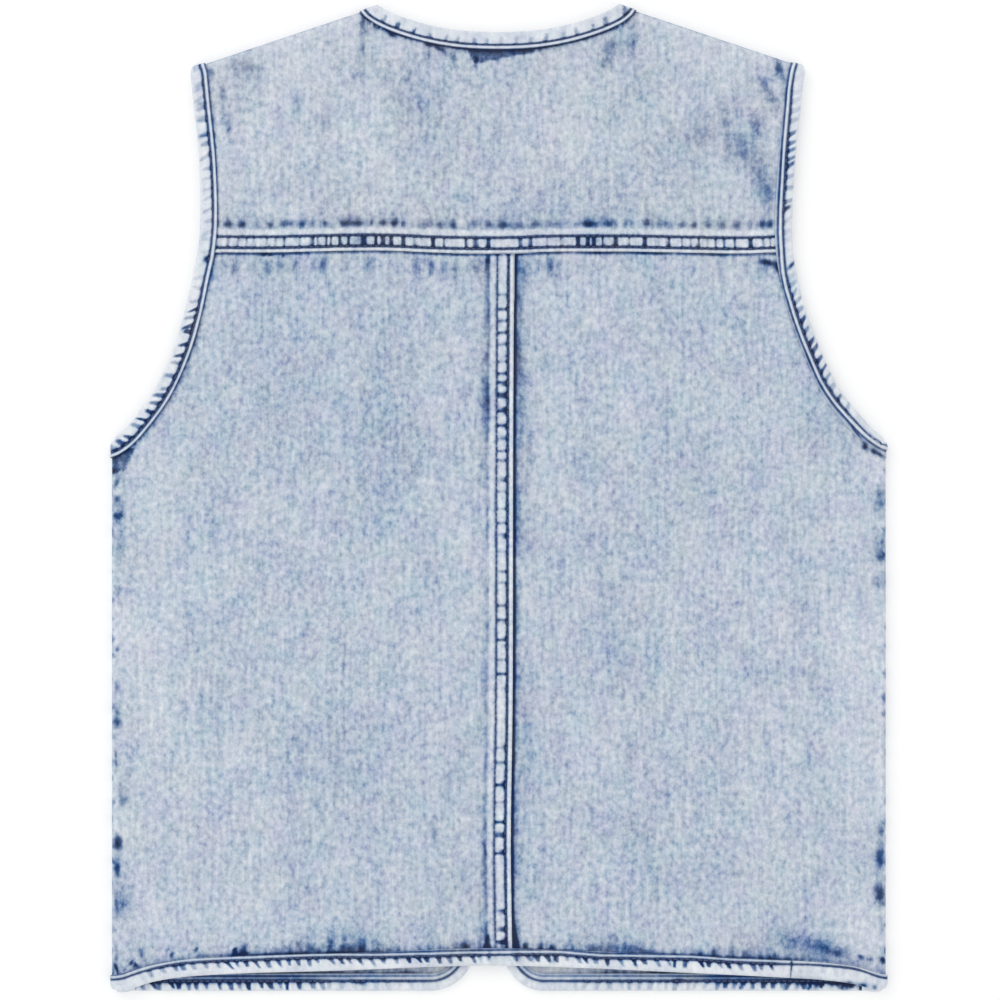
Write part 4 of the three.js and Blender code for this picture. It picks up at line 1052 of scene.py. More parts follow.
# The rungs puckered between the rows of stitches: place along the seam, half width, depth
yoke_rungs = (
    (-163, 0.7, 0.5), (-156.9, 0.7, 0.5), (-151.8, 0.7, 0.4), (-147, 0.8, 0.45), (-139.2, 0.7, 0.6),
    (-134, 0.7, 0.35), (-129.3, 0.8, 0.7), (-120, 0.8, 0.4), (-112.3, 1.0, 0.9), (-108.6, 0.8, 0.5),
    (-104.1, 0.8, 0.8), (-101.1, 0.8, 0.8), (-95.7, 1.2, 1.0), (-90.3, 0.9, 0.9), (-81.6, 2.0, 0.85),
    (-74.1, 1.0, 1.0), (-69.9, 1.0, 1.0), (-65.1, 1.2, 1.0), (-57.9, 1.2, 0.9), (-50.7, 0.9, 0.45),
    (-39.9, 1.1, 1.0), (-33.3, 0.8, 0.8), (-19.8, 0.8, 0.9), (-14.3, 1.6, 0.7), (-6.9, 1.4, 1.0),
    (12.5, 0.9, 0.7), (18.7, 1.0, 0.8), (28.5, 0.9, 0.35), (37.2, 1.2, 0.5), (47.1, 1.5, 1.0),
    (53.2, 1.3, 0.9), (56.6, 1.0, 0.9), (62.1, 1.0, 0.8), (69.5, 1.5, 1.0), (78.2, 1.0, 0.45),
    (87.3, 1.2, 0.9), (95, 0.7, 0.3), (101.3, 0.8, 1.0), (109.3, 0.8, 0.6), (114.3, 0.7, 0.4),
    (119.1, 0.8, 0.9), (125.1, 0.7, 0.35), (129.9, 0.8, 0.7), (135.2, 0.9, 0.75), (141.2, 0.9, 0.75),
    (150.9, 1.5, 1.0), (157.5, 0.9, 0.8), (162.3, 0.8, 0.6),
)
# Blobs of dye left in the hollow above the ridge of the seam, in the same way
yoke_blobs = (
    (-162.6, 2.6, 1.0), (-154.5, 2.4, 1.0), (-145.5, 1.2, 0.4), (-137.3, 1.7, 0.8), (-127.5, 4.2, 0.6),
    (-118.5, 1.6, 0.9), (-112.2, 1.2, 0.5), (-104.9, 1.4, 0.8), (-92.7, 3.4, 1.0), (-84.9, 3.8, 0.9),
    (-76.7, 1.4, 0.7), (-69.9, 1.8, 0.8), (-63.3, 2.4, 1.0), (-57.9, 1.0, 0.6), (-44.1, 3.0, 0.45),
    (-35.7, 3.0, 0.5), (-27.9, 1.6, 0.8), (-14.7, 3.0, 0.5), (-5.7, 2.6, 0.7), (2.1, 4.0, 0.8),
    (11.1, 3.2, 0.5), (21.9, 2.6, 0.6), (33.9, 4.0, 0.45), (53.7, 4.4, 1.0), (65.1, 3.2, 0.7),
    (75.9, 1.4, 0.3), (88.5, 2.4, 0.7), (98.1, 3.6, 0.5), (109.5, 2.6, 0.5), (116.7, 2.2, 0.7),
    (125.7, 2.0, 0.6), (133.5, 1.8, 0.7), (142.5, 1.8, 0.7), (150.9, 1.4, 0.5), (157.5, 2.2, 1.0),
    (162.4, 1.8, 0.9),
)
near_seam = (
    0, 0.25, 0.7, 1.2, 1.7, 2.2, 2.5, 2.7, 2.9, 3.3, 4.1, 5.1, 6.1, 7.1, 8.0, 8.7, 9.1, 9.4, 9.7, 10.2,
    10.9, 11.6, 12.3, 13.0, 13.8, 14.5, 15.2, 16.0, 17.0, 18.4,
)
# How far above the seam the blobs lie and fade, the length that the puckers of a shoulder are
# drawn over, the size of a cell of the net, and how much greyer the yoke is than the panels
above_ridge = 16.8
fading_above = 20.0
shoulder_run = 640
yoke_pitch = 2.0
yoke_column = 1.3
yoke_greyness = 0.35
neck = back_neck.inset(edge_inset, neck_hand)
neck_start = neck.where(lambda p: folds["shoulder_left"].inside(p) - flat_from_fold)
from_right = neck.reversed().where(lambda p: folds["shoulder_right"].inside(p) - flat_from_fold)
neck_stop = neck.length - from_right
neck_corner = {"left": neck.at(neck_start), "right": neck.at(neck_stop)}
yoke_heights = (near_seam, near_binding, steps_of(92, yoke_pitch))
near_neck = (0, 1.3, 2.6, 3.9, 5.2, 6.2, 7.2, 7.9, 8.4, 8.9, 9.5, 10.3, 11.3, 12.5, 13.9, 15.5, 17.3)
yoke_widths = (near_binding, near_neck, steps_of(76, yoke_column))
felled_levels = [a - shoulder_cut for a in near_seam if a < shoulder_cut - 4.4]
shoulder_levels = np.concatenate([before_fold, round_fold, [-4.0], felled_levels[::-1]])
cut = Cut()
for side in sides:
    fold = folds["shoulder_" + side]
    armhole = back_armhole[side].inset(edge_inset, armhole_hand[side])
    neck_side = neck if side == "left" else neck.reversed()

    def on_armhole(a):
        return armhole.where(lambda p: fold.inside(p) - a)

    seam_place = armhole.where(lambda p: p[:, 1] - yoke_seam)
    seam_corner = np.array([neck_corner[side][0], yoke_seam])
    outer_edge = armhole.part(on_armhole(flat_from_fold), seam_place).reversed()
    cut.net(patch(
        Line([armhole.at(seam_place), seam_corner]),
        Line([outer_edge.points[-1], neck_corner[side]]),
        outer_edge,
        Line([seam_corner, neck_corner[side]]),
        yoke_widths,
        yoke_heights,
    ))
    start = np.array([outer_edge.points[-1], *(armhole.at(on_armhole(a)) for a in shoulder_levels[1:])])
    stop = np.array([neck_corner[side], *(
        neck_side.at(neck_side.where(lambda p: fold.inside(p) - a)) for a in shoulder_levels[1:])])
    share = shares(np.linalg.norm(stop - start, axis=1), *yoke_widths)[..., None]
    cut.net(start[:, None] + (stop - start)[:, None] * share)
cut.net(patch(
    Line([(neck_corner["left"][0], yoke_seam), (neck_corner["right"][0], yoke_seam)]),
    neck.part(neck_start, neck_stop),
    Line([(neck_corner["left"][0], yoke_seam), neck_corner["left"]]),
    Line([(neck_corner["right"][0], yoke_seam), neck_corner["right"]]),
    ((0,), (0,), steps_of(144, yoke_column)),
    yoke_heights,
))
cut.close()
points = cut.points
to_neck, neck_place = back_neck.nearest(points)
to_armholes = {side: back_armhole[side].nearest(points) for side in sides}
to_edge = np.min([to_neck, *(near[0] for near in to_armholes.values())], axis=0)
above_seam = points[:, 1] - yoke_seam
rungs = placed_wedges([(x, 1.3 * wide, deep) for x, wide, deep in yoke_rungs], reach=24.0)
relief, dye = felled(above_seam, points[:, 0], rungs, *seam_stitches.values())
blobs = [(x, yoke_seam + above_ridge, wide, 2.1, 0, 0.7 * deep) for x, wide, deep in yoke_blobs]
fading = [(x, yoke_seam + fading_above, wide, 4.5, 0, 0.16 * deep) for x, wide, deep in yoke_blobs]
dye = dye + mounds(points, blobs + fading) + 0.1 * streak(above_seam - above_ridge, 2.6)
for side in sides:
    fold = folds["shoulder_" + side]
    past = fold.inside(points)
    forward = shoulder_cut + past
    run = points @ np.array([-fold.out[1], fold.out[0]]) + run_shift
    rows = wedges(shoulder_run, pitch=6.4, half_size=(0.9, 1.8), reach=(4, 8), slant=0.0, seed=44)
    seam_relief, seam_dye = felled(forward, run, rows, *seam_stitches.values())
    relief = np.where(past < -4, seam_relief, relief)
    dye = np.where(past < -4, seam_dye, dye)
    # Painted shade: a dark line along each shoulder fold where the cloth turns under, with the cloth a little
    # paler just inside it
    dye = dye - 0.1 * streak(past - 3, 4) + 0.35 * streak(past, 1.3)
    distance, place = to_armholes[side]
    # Beside each armhole binding the yoke gets dashes of dye and a painted shadow line with a soft painted
    # halo
    side_dye, side_relief = edge_marks(
        distance - strayed(points, 1), place, 45 + sign[side], line=0.45, wedge_share=0.2,
        halo=(0.14, 2.2))
    dye = dye + side_dye
    relief = relief * clear_of(distance) + side_relief
# Beside the neck binding the yoke gets dashes of dye and a painted shadow line with a soft painted halo
neck_dye_and_shade, neck_relief = edge_marks(
    to_neck, neck_place, 48, line=0.9, wedge_share=0.4, pitch=8.0, reach=(2, 7))
dye = dye + neck_dye_and_shade + mounds(points, yoke_stains) + blots(points, yoke_blots)
relief = relief * clear_of(to_neck) + neck_relief
height = back_height(points, to_edge)
placed = waved(points)
over, under = (place_back(placed, off, height) for off in (half + relief, -half))
wrong = wrong_side_dye_and_shade + 0.35 * neck_dye_and_shade
yoke = sewn_panel("yoke", cut, over, under, dye, wrong, yoke_greyness)
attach(yoke, "root")
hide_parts("back_yoke")

# Fronts
# Two open fronts of the same denim, with a deep round neck and a round corner at the hem.
# They lie beneath with their right side on the table, so above the hem of the fronts
# their wrong side shows, dyed dark partly as painted shade from the back hem above it.
front_neck_depth = 100.0
front_edge = {"left": -14.7, "right": 2.1}
front_corner = {"left": 27.0, "right": 25.0}
front_hand = {"left": -1, "right": 1}
front_armhole_rows = (
    (170.0, 205), (167.5, 170), (168.2, 135), (172.5, 105), (181.0, 78), (193.5, 56), (205.5, 43),
)
under_middle = half


def rounded_line(corners):
    """Straight stretches with round corners: each corner has its place and its radius."""
    points = [np.asarray(corners[0][0], float)]
    for (before, _), (at, radius), (after, _) in zip(corners, corners[1:], corners[2:]):
        at = np.asarray(at, float)
        into, leave = (way / np.linalg.norm(way) for way in (at - before, after - at))
        bend = math.atan2(into[0] * leave[1] - into[1] * leave[0], into @ leave)
        start = at - into * radius * math.tan(abs(bend) / 2)
        centre = start + np.array([-into[1], into[0]]) * radius * math.copysign(1, bend)
        steps = max(2, math.ceil(radius * abs(bend)))
        for k in range(steps + 1):
            turn = bend * k / steps
            c, s = math.cos(turn), math.sin(turn)
            points.append(centre + np.array([[c, -s], [s, c]]) @ (start - centre))
    points.append(np.asarray(corners[-1][0], float))
    return Line(points)


def place_front(points, off, height=under_edge):
    """Places the flat cut of a front, which lies with its right side down."""
    return np.concatenate([points, (height - np.broadcast_to(off, points.shape[:-1]))[..., None]], -1)


front_bound = {}
front_armhole = {}
for side in sides:
    out = sign[side]
    shoulder = folds["shoulder_" + side]
    neck_run = back_neck.reversed() if side == "left" else back_neck
    start = shoulder.mirrored(neck_run.points[-1])
    heading = -shoulder.out
    side_seam = out * (folds["side_" + side].reach - side_seam_reach)
    front_bound[side] = rounded_line([
        (start, 0),
        (start + heading * 25, 60),
        ((front_edge[side], front_neck_depth), 90),
        ((front_edge[side], hem_level), front_corner[side]),
        ((side_seam, hem_level), 0),
    ])
    tip = shoulder.mirrored(back_armhole[side].points[0])
    down = tip - shoulder.mirrored(back_armhole[side].at(1.2))
    down = down / np.linalg.norm(down)
    front_armhole[side] = curve_through([
        tip,
        tip + down * 7,
        *((out * x, y) for x, y in front_armhole_rows),
        (side_seam - out * 5, underarm),
        (side_seam, underarm),
    ])

front_creases = (
    (-120, -40, 90, 9, 88, 0.5), (-70, -150, 70, 7, 80, 0.4), (-160, 60, 50, 7, 60, 0.45),
    (110, -60, 100, 9, 95, 0.5), (70, 20, 60, 7, 84, 0.4), (160, 70, 46, 7, -58, 0.45),
    (-110, 170, 40, 7, 70, 0.4), (112, 172, 40, 7, -72, 0.4), (150, -200, 60, 8, 100, 0.4),
    (-170, -210, 60, 8, 82, 0.4), (-60, 60, 50, 6, 96, 0.3), (50, -200, 60, 7, 86, 0.35),
)
# Stains on the wrong side, where the long rows at x -145 and 140 are painted shade under the back hem, and
# stains on the right side
front_stains_and_shade = (
    (-30, -276, 46, 16, 0, -0.5), (40, -276, 52, 16, 0, -0.46), (-57, -286, 11, 2.2, 4, 0.4),
    (66, -285.6, 8, 3, 0, 0.3), (98, -286, 12, 3.4, 0, 0.34), (-145, -286, 52, 3, 0, 0.2),
    (140, -286, 42, 3, 0, 0.22),
)
right_side_stains = (
    (-30, -60, 60, 3, 90, 0.18), (18, -80, 60, 3, 90, 0.18), (-120, -255, 50, 5, 0, 0.25),
    (120, -255, 50, 5, 0, 0.25), (-200, 0, 40, 5, 90, 0.2), (200, -20, 40, 5, 90, 0.2),
    (-90, 60, 60, 30, 80, 0.07), (90, 40, 60, 30, 100, 0.06), (-110, -120, 70, 30, 95, -0.05),
    (120, -140, 70, 30, 85, -0.05), (-120, 210, 30, 10, 70, 0.12), (120, 210, 30, 10, -70, 0.12),
)
# The net of a front is parted into two patches here, above the lowest point of its armhole
above_underarm = 12
front_columns = steps_of(180, 3.6)
front_rows = steps_of(290, 3.4)
chest_rows = steps_of(235, 2.6)
front_edge_hold = (12, 30)
front_fold_hold = (26, 46)
front_seed = {"left": 60, "right": 70}
fronts = {}
for side in sides:
    out = sign[side]
    shoulder = folds["shoulder_" + side]
    bound = front_bound[side].inset(edge_inset, front_hand[side])
    armhole = front_armhole[side].inset(edge_inset, armhole_hand[side])
    seam_x = out * (folds["side_" + side].reach - side_cut - clearance)

    def on_shoulder(line):
        return line.where(lambda p: shoulder.inside(p) - shoulder_cut - clearance)

    turn = bound.where(lambda p: p[:, 1] - hem_level - np.abs(p[:, 0] - front_edge[side]))
    hem_end = bound.where(lambda p: np.where(p[:, 1] < 0, p[:, 0] - seam_x, -out * 1000))
    armhole_end = armhole.where(lambda p: p[:, 0] - seam_x)
    level = bound.where(lambda p: p[:, 1] - underarm)
    waist_run = armhole.where(lambda p: p[:, 1] - underarm - above_underarm)
    waist = Line([armhole.at(waist_run), bound.at(level)])
    round_underarm = armhole.part(waist_run, armhole_end).reversed()
    widths = (near_binding, near_binding, front_columns)
    heights = (near_binding, near_binding, front_rows)
    cut = Cut()
    cut.net(patch(
        bound.part(turn, hem_end).reversed(),
        waist,
        Line(np.vstack([bound.at(hem_end), round_underarm.points])),
        bound.part(level, turn).reversed(),
        widths,
        heights,
    ))
    armhole_start, bound_start = on_shoulder(armhole), on_shoulder(bound)
    cut.net(patch(
        waist,
        Line([armhole.at(armhole_start), bound.at(bound_start)]),
        armhole.part(armhole_start, waist_run).reversed(),
        bound.part(bound_start, level).reversed(),
        widths,
        ((0,), (0,), chest_rows),
    ))
    cut.close()
    points = cut.points
    to_bound, bound_place = front_bound[side].nearest(points)
    to_armhole, armhole_place = front_armhole[side].nearest(points)
    to_fold = np.min([fold.inside(points) for fold in folds.values()], axis=0)
    at_edge = fall(np.minimum(to_bound, to_armhole), *front_edge_hold)
    held = np.maximum(at_edge, fall(to_fold, *front_fold_hold))
    height = under_middle + (under_edge - under_middle) * held + mounds(points, front_creases) * (1 - held)
    seed = front_seed[side]
    # Beside its bindings the front gets dashes of dye and a painted shadow line with a soft painted halo
    bound_dye_and_shade, bound_relief = edge_marks(
        to_bound, bound_place, seed, line=0.8, wedge_share=0.6, pitch=7.5, half_size=(1.0, 2.2))
    armhole_dye_and_shade, armhole_relief = edge_marks(
        to_armhole, armhole_place, seed + 3, line=0.6, wedge_share=0.4)
    dye = bound_dye_and_shade + armhole_dye_and_shade + mounds(points, right_side_stains)
    relief = bound_relief + armhole_relief
    wrong = wrong_side_dye_and_shade - 0.04 + 0.15 * bound_dye_and_shade + 0.3 * armhole_dye_and_shade + mounds(points, front_stains_and_shade)
    over, under = (place_front(points, off, height) for off in (half + np.minimum(relief, 0), -half))
    fronts[side] = sewn_panel("front_panel_" + side, cut, over, under, dye, wrong)
    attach(fronts[side], "root")
    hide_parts("front_" + side)

# Armhole bindings
# A straight strip of the same denim on each armhole, folded over the raw edge and held by
# one row of navy stitches near its inner fold. The pull of the stitches puckers the band,
# and the wash has taken the dye off its high places and left it in the hollows.
outer_face = half + clearance + cloth
inner_face = half + clearance
# Ways in from the edge on a face of the strip, and the turn over the edge: way in, share of the
# way off the panel, and which face it is on
face_rows = (10.5, 10.2, 9.9, 9.5, 9.1, 8.7, 8.3, 7.9, 7.5, 7.1, 6.7, 6.2, 5.6, 4.6, 3.5, 2.4, 1.3)
edge_turns = ((0.7, 0.86, 1), (0.3, 0.62, 1), (0.05, 0.3, 0), (0.0, 0.0, 0), (0.05, -0.3, 0),
              (0.3, -0.62, -1), (0.7, -0.86, -1))
station_pitch = 0.95
end_trim = clearance / 2 + 0.05
# Ways in from the edge to the stitches, the inner fold and the shaded brim past it, the half
# width of the stitched groove, how deep the dye is in it and on the fold, and how dark the painted shade
# along the brim is
band_rows = {
    "stitch": 7.75, "fold": 9.25, "brim": 9.8, "groove": 1.15, "line": 1.4, "crest": -0.02, "shade": 0.8,
}
binding_denim = denim_material("washed binding denim", base=-0.12, grain=0.6, mottle=0.16)

# Round the folded strip: way in from the edge, way off the panel, and which face it is on
section = np.array([
    *((b, outer_face, 1) for b in face_rows),
    *((b, share * outer_face, face) for b, share, face in edge_turns),
    *((b, -outer_face, -1) for b in reversed(face_rows)),
    (binding_width, -inner_face, 0), (cloth, -inner_face, 0),
    (cloth, inner_face, 0), (binding_width, inner_face, 0),
])
section_count = len(section)
first_turn = len(face_rows) - 1
last_turn = first_turn + len(edge_turns) + 1
end_faces = (
    [*range(first_turn + 1), section_count - 2, section_count - 1],
    [*range(first_turn, last_turn + 1), section_count - 3, section_count - 2],
    [*range(last_turn, section_count - 4), section_count - 4, section_count - 3],
)


# Depths of a pucker, the stitched groove and the ripple along the edge, rise of the inner fold,
# and how far a pucker draws the edge in, all in millimetres
hollow_depth, band_groove_depth, ripple_depth, fold_rise, edge_pull = 0.4, 0.4, 0.1, 0.16, 0.25
# Dye in a pucker, on the brim past the inner fold, and in the cloudy outer part of the band
hollow_dye, brim_dye, cloud_dye = 1.1, 0.33, 0.1


def bound_edge(name, stretches, seed, share, slant, pitch, reach, half_size, stains=(), tone=0.0):
    """A folded strip along one or more stretches of edge, with its puckers, its dye and the painted shade
    along its brim.
    """
    at, inward, level, run, start, counts = [], [], [], [], 0.0, []
    for line, hand, place, _ in stretches:
        count = steps_of(line.length - 2 * end_trim, station_pitch) + 1
        counts.append(count)
        runs = np.linspace(end_trim, line.length - end_trim, count)
        at.append(line.at(runs))
        inward.append(line.inward(runs, hand))
        level.append(np.full(count, 0 if place is place_front else 1))
        run.append(runs + start)
        start += line.length
    at, inward, level, run = (np.concatenate(values) for values in (at, inward, level, run))
    run = run[:, None]
    b, off, face = (section[:, k][None] for k in range(3))
    band = {key: np.repeat([stretch[3][key] for stretch in stretches], counts)[:, None] for key in band_rows}
    stray = strayed(at, level)[:, None]
    for key in ("stitch", "fold", "brim"):
        band[key] = band[key] + stray
    # Past its inner fold the band lies lower, and lower still where its rows strayed outward
    rim = 0.4 + 0.45 * np.clip(-stray / 1.5, 0, 1)
    strength = share(at, level)[:, None]
    way = band["stitch"] - 0.3 - b
    tops = puckered(run, way, wedges(start, pitch, half_size, reach, slant, seed), 0.25)
    backs = puckered(run, way, wedges(start, pitch, half_size, reach, -slant, seed + 1), 0.25)
    hollows = np.where(face >= 0, tops, backs) * strength * (np.abs(off) > 0.2 * outer_face)
    on_face = np.abs(face)
    line_share = drift(run, 9, 0.8, 1.0, seed + 4) * (0.8 + 0.2 * strength)
    groove = streak(b - band["stitch"], band["groove"] * (0.72 + 0.28 * np.minimum(strength, 1))) * on_face
    roll = streak(b - band["fold"], 0.6) * on_face
    brim = smooth((b - band["brim"]) / 0.5) * on_face
    ripple = np.sin(run * 1.05 + drift(run, 11, 0, 5, seed + 2)) * fall(np.abs(b - 3), 1.5, 3)
    sunk = ripple_depth * ripple - hollow_depth * hollows - band_groove_depth * groove
    relief = on_face * (sunk + fold_rise * roll - rim * brim)
    spots = at[:, None] + inward[:, None] * (b + edge_pull * hollows * (b < 1))[..., None]
    lift = off + np.sign(face) * relief
    rings = np.where(level[:, None, None] == 0, place_front(spots, lift), place_back(spots, lift))
    dye = hollow_dye * hollows + band["line"] * groove * line_share + band["crest"] * roll
    # Painted shade along the brim past the inner fold
    shade = band["shade"] * streak(b - band["fold"] - 1.5, 0.95) * line_share
    dye = dye + brim * (brim_dye + shade) + tone
    dye = dye + np.where(b < 5.6, cloud_dye * drift(run, 8, -1, 1, seed + 3), 0)
    on_top = np.maximum(np.where(level[:, None] == 1, face, -face), 0).ravel()
    dye = dye + (mounds(spots.reshape(-1, 2), stains) * on_top).reshape(dye.shape)
    points = rings.reshape(-1, 3)
    here = np.arange(section_count)[None]
    ahead = (here + 1) % section_count
    first = np.arange(len(at) - 1)[:, None] * section_count
    next_ring = first + section_count
    quads = np.stack([first + here, first + ahead, next_ring + ahead, next_ring + here], -1).reshape(-1, 4)
    last = (len(at) - 1) * section_count
    faces = [quads]
    for corners in end_faces:
        faces += [np.array([corners[::-1]]), np.array([corners]) + last]
    a, c, d, e = (points[quads[:, k]] for k in range(4))
    if (a * np.cross(c, d)).sum() + (a * np.cross(d, e)).sum() < 0:
        faces = [group[:, ::-1] for group in faces]
    made = sewn_object(name, points, faces, binding_denim, {
        "indigo": dye.ravel(),
        "inner": np.zeros(len(points)),
    })
    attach(made, "root")
    return made


def armhole_share(at, level):
    """The band is smooth and pale beside the yoke seam and puckered most near the underarm."""
    heights = (30, 52, 62, 112, 128, 140, 165, 185, 215, 250)
    left = np.interp(at[:, 1], heights, (0.9, 1, 1, 0.95, 0.5, 0.1, 0.35, 0.45, 0.45, 0.5))
    right = np.interp(at[:, 1], heights, (0.05, 0.1, 0.85, 0.9, 0.5, 0.05, 0.3, 0.8, 0.75, 0.1))
    return np.where(level == 1, np.where(at[:, 0] < 0, left, right), 0.8)


# Stains on the upper face of the bands
armhole_stains = (
    (-180.9, 244.8, 2.6, 1.2, 20, 0.5), (-178.8, 236.4, 2.8, 1.2, 15, 0.55), (-178.5, 228, 2.8, 1.2, 15, 0.5),
    (-177.3, 217.2, 2.6, 1.2, 10, 0.5), (-175.9, 143.4, 2.4, 1.6, 60, 1.2), (175.2, 139.8, 3.0, 1.2, 50, 1.1),
    (172.5, 174, 2.2, 1.2, 40, 0.8), (219.3, 31.8, 2.6, 1.6, -40, 0.8), (224.5, 28.2, 2.4, 1.6, -35, 0.8),
    (228.6, 25.6, 2.6, 1.2, -40, 0.8), (214.5, 38.5, 5, 0.8, -52, 0.6),
)
# The puckers of the two bands lean different ways
armhole_puckers = {
    "left": {"seed": 80, "slant": 0.35, "reach": (5.2, 7.2), "half_size": (1.4, 2.3)},
    "right": {"seed": 90, "slant": -0.5, "reach": (4.6, 6.2), "half_size": (1.8, 2.8)},
}
for side in sides:
    bound_edge("armhole_binding_" + side + "_strip", [
        (front_armhole[side].reversed(), -armhole_hand[side], place_front, band_rows),
        (back_armhole[side], armhole_hand[side], place_back, band_rows),
    ], share=armhole_share, pitch=6.2, stains=armhole_stains, **armhole_puckers[side])
    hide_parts("armhole_binding_" + side)

# Edge binding
# The same folded strip all round the neck, the open front edges and the hem. It is joined
# end to end at the hem near the wearer's right side, and parted at the shoulder seams.
hem_join = 174.6


def neck_share(at, level):
    return np.interp(at[:, 0], (-80, -40, 0, 40, 80), (0.8, 0.6, 0.35, 0.6, 0.8))


def hem_share(at, level):
    places = (-232, -214, -208, -190, -120, -14, -9, 6, 11, 110, 164, 169, 197, 203, 212, 218, 232)
    puckers = (0.05, 0.05, 0.5, 0.8, 1, 0.95, 0.15, 0.15, 0.9, 1, 1.2, 0.15, 0.2, 0.2, 0.15, 0.1, 0.1)
    return np.interp(at[:, 0], places, puckers)


def front_share(at, level):
    """The band is smooth round the two front corners, and puckered along the straight hem."""
    places = (-232, -115, -100, -60, -30, 40, 60, 115, 130, 165, 232)
    below = np.interp(at[:, 0], places, (1, 1, 0.5, 0.25, 0.05, 0.05, 0.5, 0.5, 0.8, 1, 1))
    return np.where(level == 1, hem_share(at, level), np.where(at[:, 1] < -240, below, 0.9))


neck_band_rows = {
    "stitch": 7.9, "fold": 9.3, "brim": 9.8, "groove": 0.85, "line": 1.4, "crest": -0.02, "shade": 0.8,
}
hem_band_rows = {
    "stitch": 7.75, "fold": 9.1, "brim": 9.55, "groove": 1.1, "line": 1.4, "crest": 0.15, "shade": 0.7,
}
front_band_rows = {
    "stitch": 6.1, "fold": 7.6, "brim": 8.05, "groove": 1.3, "line": 1.4, "crest": 0.2, "shade": 0.5,
}
hem_stains = (
    (-6.3, -275, 2.4, 1.1, 84, 0.8), (11.4, -275.5, 2.6, 2.2, 96, 0.6), (20.1, -276, 2.2, 1.2, 84, 0.8),
    (32.7, -277, 2.2, 1.1, 90, 0.8), (174.9, -281.4, 6.0, 0.7, 84, 0.7), (229.8, -282.4, 4.0, 1.3, -28, 0.9),
)
# Stains on the bands of the fronts; the long rows at x -190, -145 and 140 are painted shade, where the fold
# of the band lies in the shade of the back hem
front_hem_stains_and_shade = (
    (198, -291, 24, 1.6, -3, 0.8), (-84, -291.4, 4, 1.2, -12, 0.6), (108, -290, 3, 1.4, 0, 0.6),
    (-190, -291, 26, 1.2, 0, 0.4), (-145, -287.8, 52, 1.4, 0, 0.4), (140, -287.8, 40, 1.4, 0, 0.4),
    (179, -292.6, 2.8, 1.8, 60, 0.9), (190.5, -292.6, 3.4, 2.2, 60, 1.0), (200, -292, 2.4, 1.6, 60, 0.7),
    (208.8, -293, 3.4, 2.4, 60, 1.0), (217.8, -293.6, 2.8, 2.2, 60, 1.0), (225, -293.6, 1.8, 1.5, 60, 0.8),
)
neck_binding = bound_edge(
    "neck_binding_strip", [(back_neck, neck_hand, place_back, neck_band_rows)], 100, neck_share,
    slant=0.2, pitch=8.0, reach=(3.0, 6.0), half_size=(1.4, 2.3), tone=0.08)
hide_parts("neck_binding")
join_run = back_hem.where(lambda p: p[:, 0] - hem_join)
hem_left = back_hem.part(0, join_run)
hem_binding = bound_edge(
    "hem_binding_strip", [(hem_left, hem_hand, place_back, hem_band_rows)], 104, hem_share,
    slant=0.45, pitch=6.2, reach=(3.6, 5.4), half_size=(1.6, 2.6), stains=hem_stains)
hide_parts("hem_binding")
hem_right = back_hem.part(join_run, back_hem.length).reversed()
front_bindings = {
    "left": bound_edge("front_binding_left_strip", [
        (front_bound["left"], front_hand["left"], place_front, front_band_rows),
    ], 108, front_share, slant=0.2, pitch=6.4, reach=(4.8, 6.6), half_size=(1.7, 2.8),
        stains=front_hem_stains_and_shade),
    "right": bound_edge("front_binding_right_strip", [
        (front_bound["right"], front_hand["right"], place_front, front_band_rows),
        (hem_right, -hem_hand, place_back, hem_band_rows),
    ], 112, front_share, slant=0.2, pitch=6.2, reach=(4.6, 6.4), half_size=(1.6, 2.7),
        stains=hem_stains + front_hem_stains_and_shade),
}
for side in sides:
    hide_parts("front_binding_" + side)

# Topstitching
# Navy cotton thread in stitches of about 3.6 mm: one row on each face of every binding,
# and two rows on each felled seam. Each stitch sinks into its groove at both ends.
stitch_pitch = 3.6
stitch_length = 3.1
stitch_unevenness = 0.08
thread_width = 0.5
thread_height = 0.3
end_sink = 2.6
tip_sink = 0.8
navy_thread = bpy.data.materials.new("navy thread")
navy_thread.use_nodes = True
thread_nodes, thread_links = navy_thread.node_tree.nodes, navy_thread.node_tree.links
thread_shader = thread_nodes["Principled BSDF"]
thread_shader.inputs["Roughness"].default_value = 0.6
thread_shader.inputs["Sheen Weight"].default_value = 0.2
thread_wear = thread_nodes.new("ShaderNodeTexNoise")
thread_wear.inputs["Scale"].default_value = 900.0
thread_tint = thread_nodes.new("ShaderNodeValToRGB")
thread_tint.color_ramp.elements[0].position = 0.35
thread_tint.color_ramp.elements[0].color = paint(22, 34, 78)
thread_tint.color_ramp.elements[1].position = 0.75
thread_tint.color_ramp.elements[1].color = paint(84, 104, 150)
thread_links.new(thread_wear.outputs["Fac"], thread_tint.inputs["Fac"])
thread_links.new(thread_tint.outputs["Color"], thread_shader.inputs["Base Color"])
thread_bump = thread_nodes.new("ShaderNodeBump")
thread_bump.inputs["Distance"].default_value = 0.0002
thread_links.new(thread_wear.outputs["Fac"], thread_bump.inputs["Height"])
thread_links.new(thread_bump.outputs["Normal"], thread_shader.inputs["Normal"])

ring_sides = 5
ring_rows = ((-0.4, 0.75), (-0.15, 1.0), (0.15, 1.0), (0.4, 0.75))


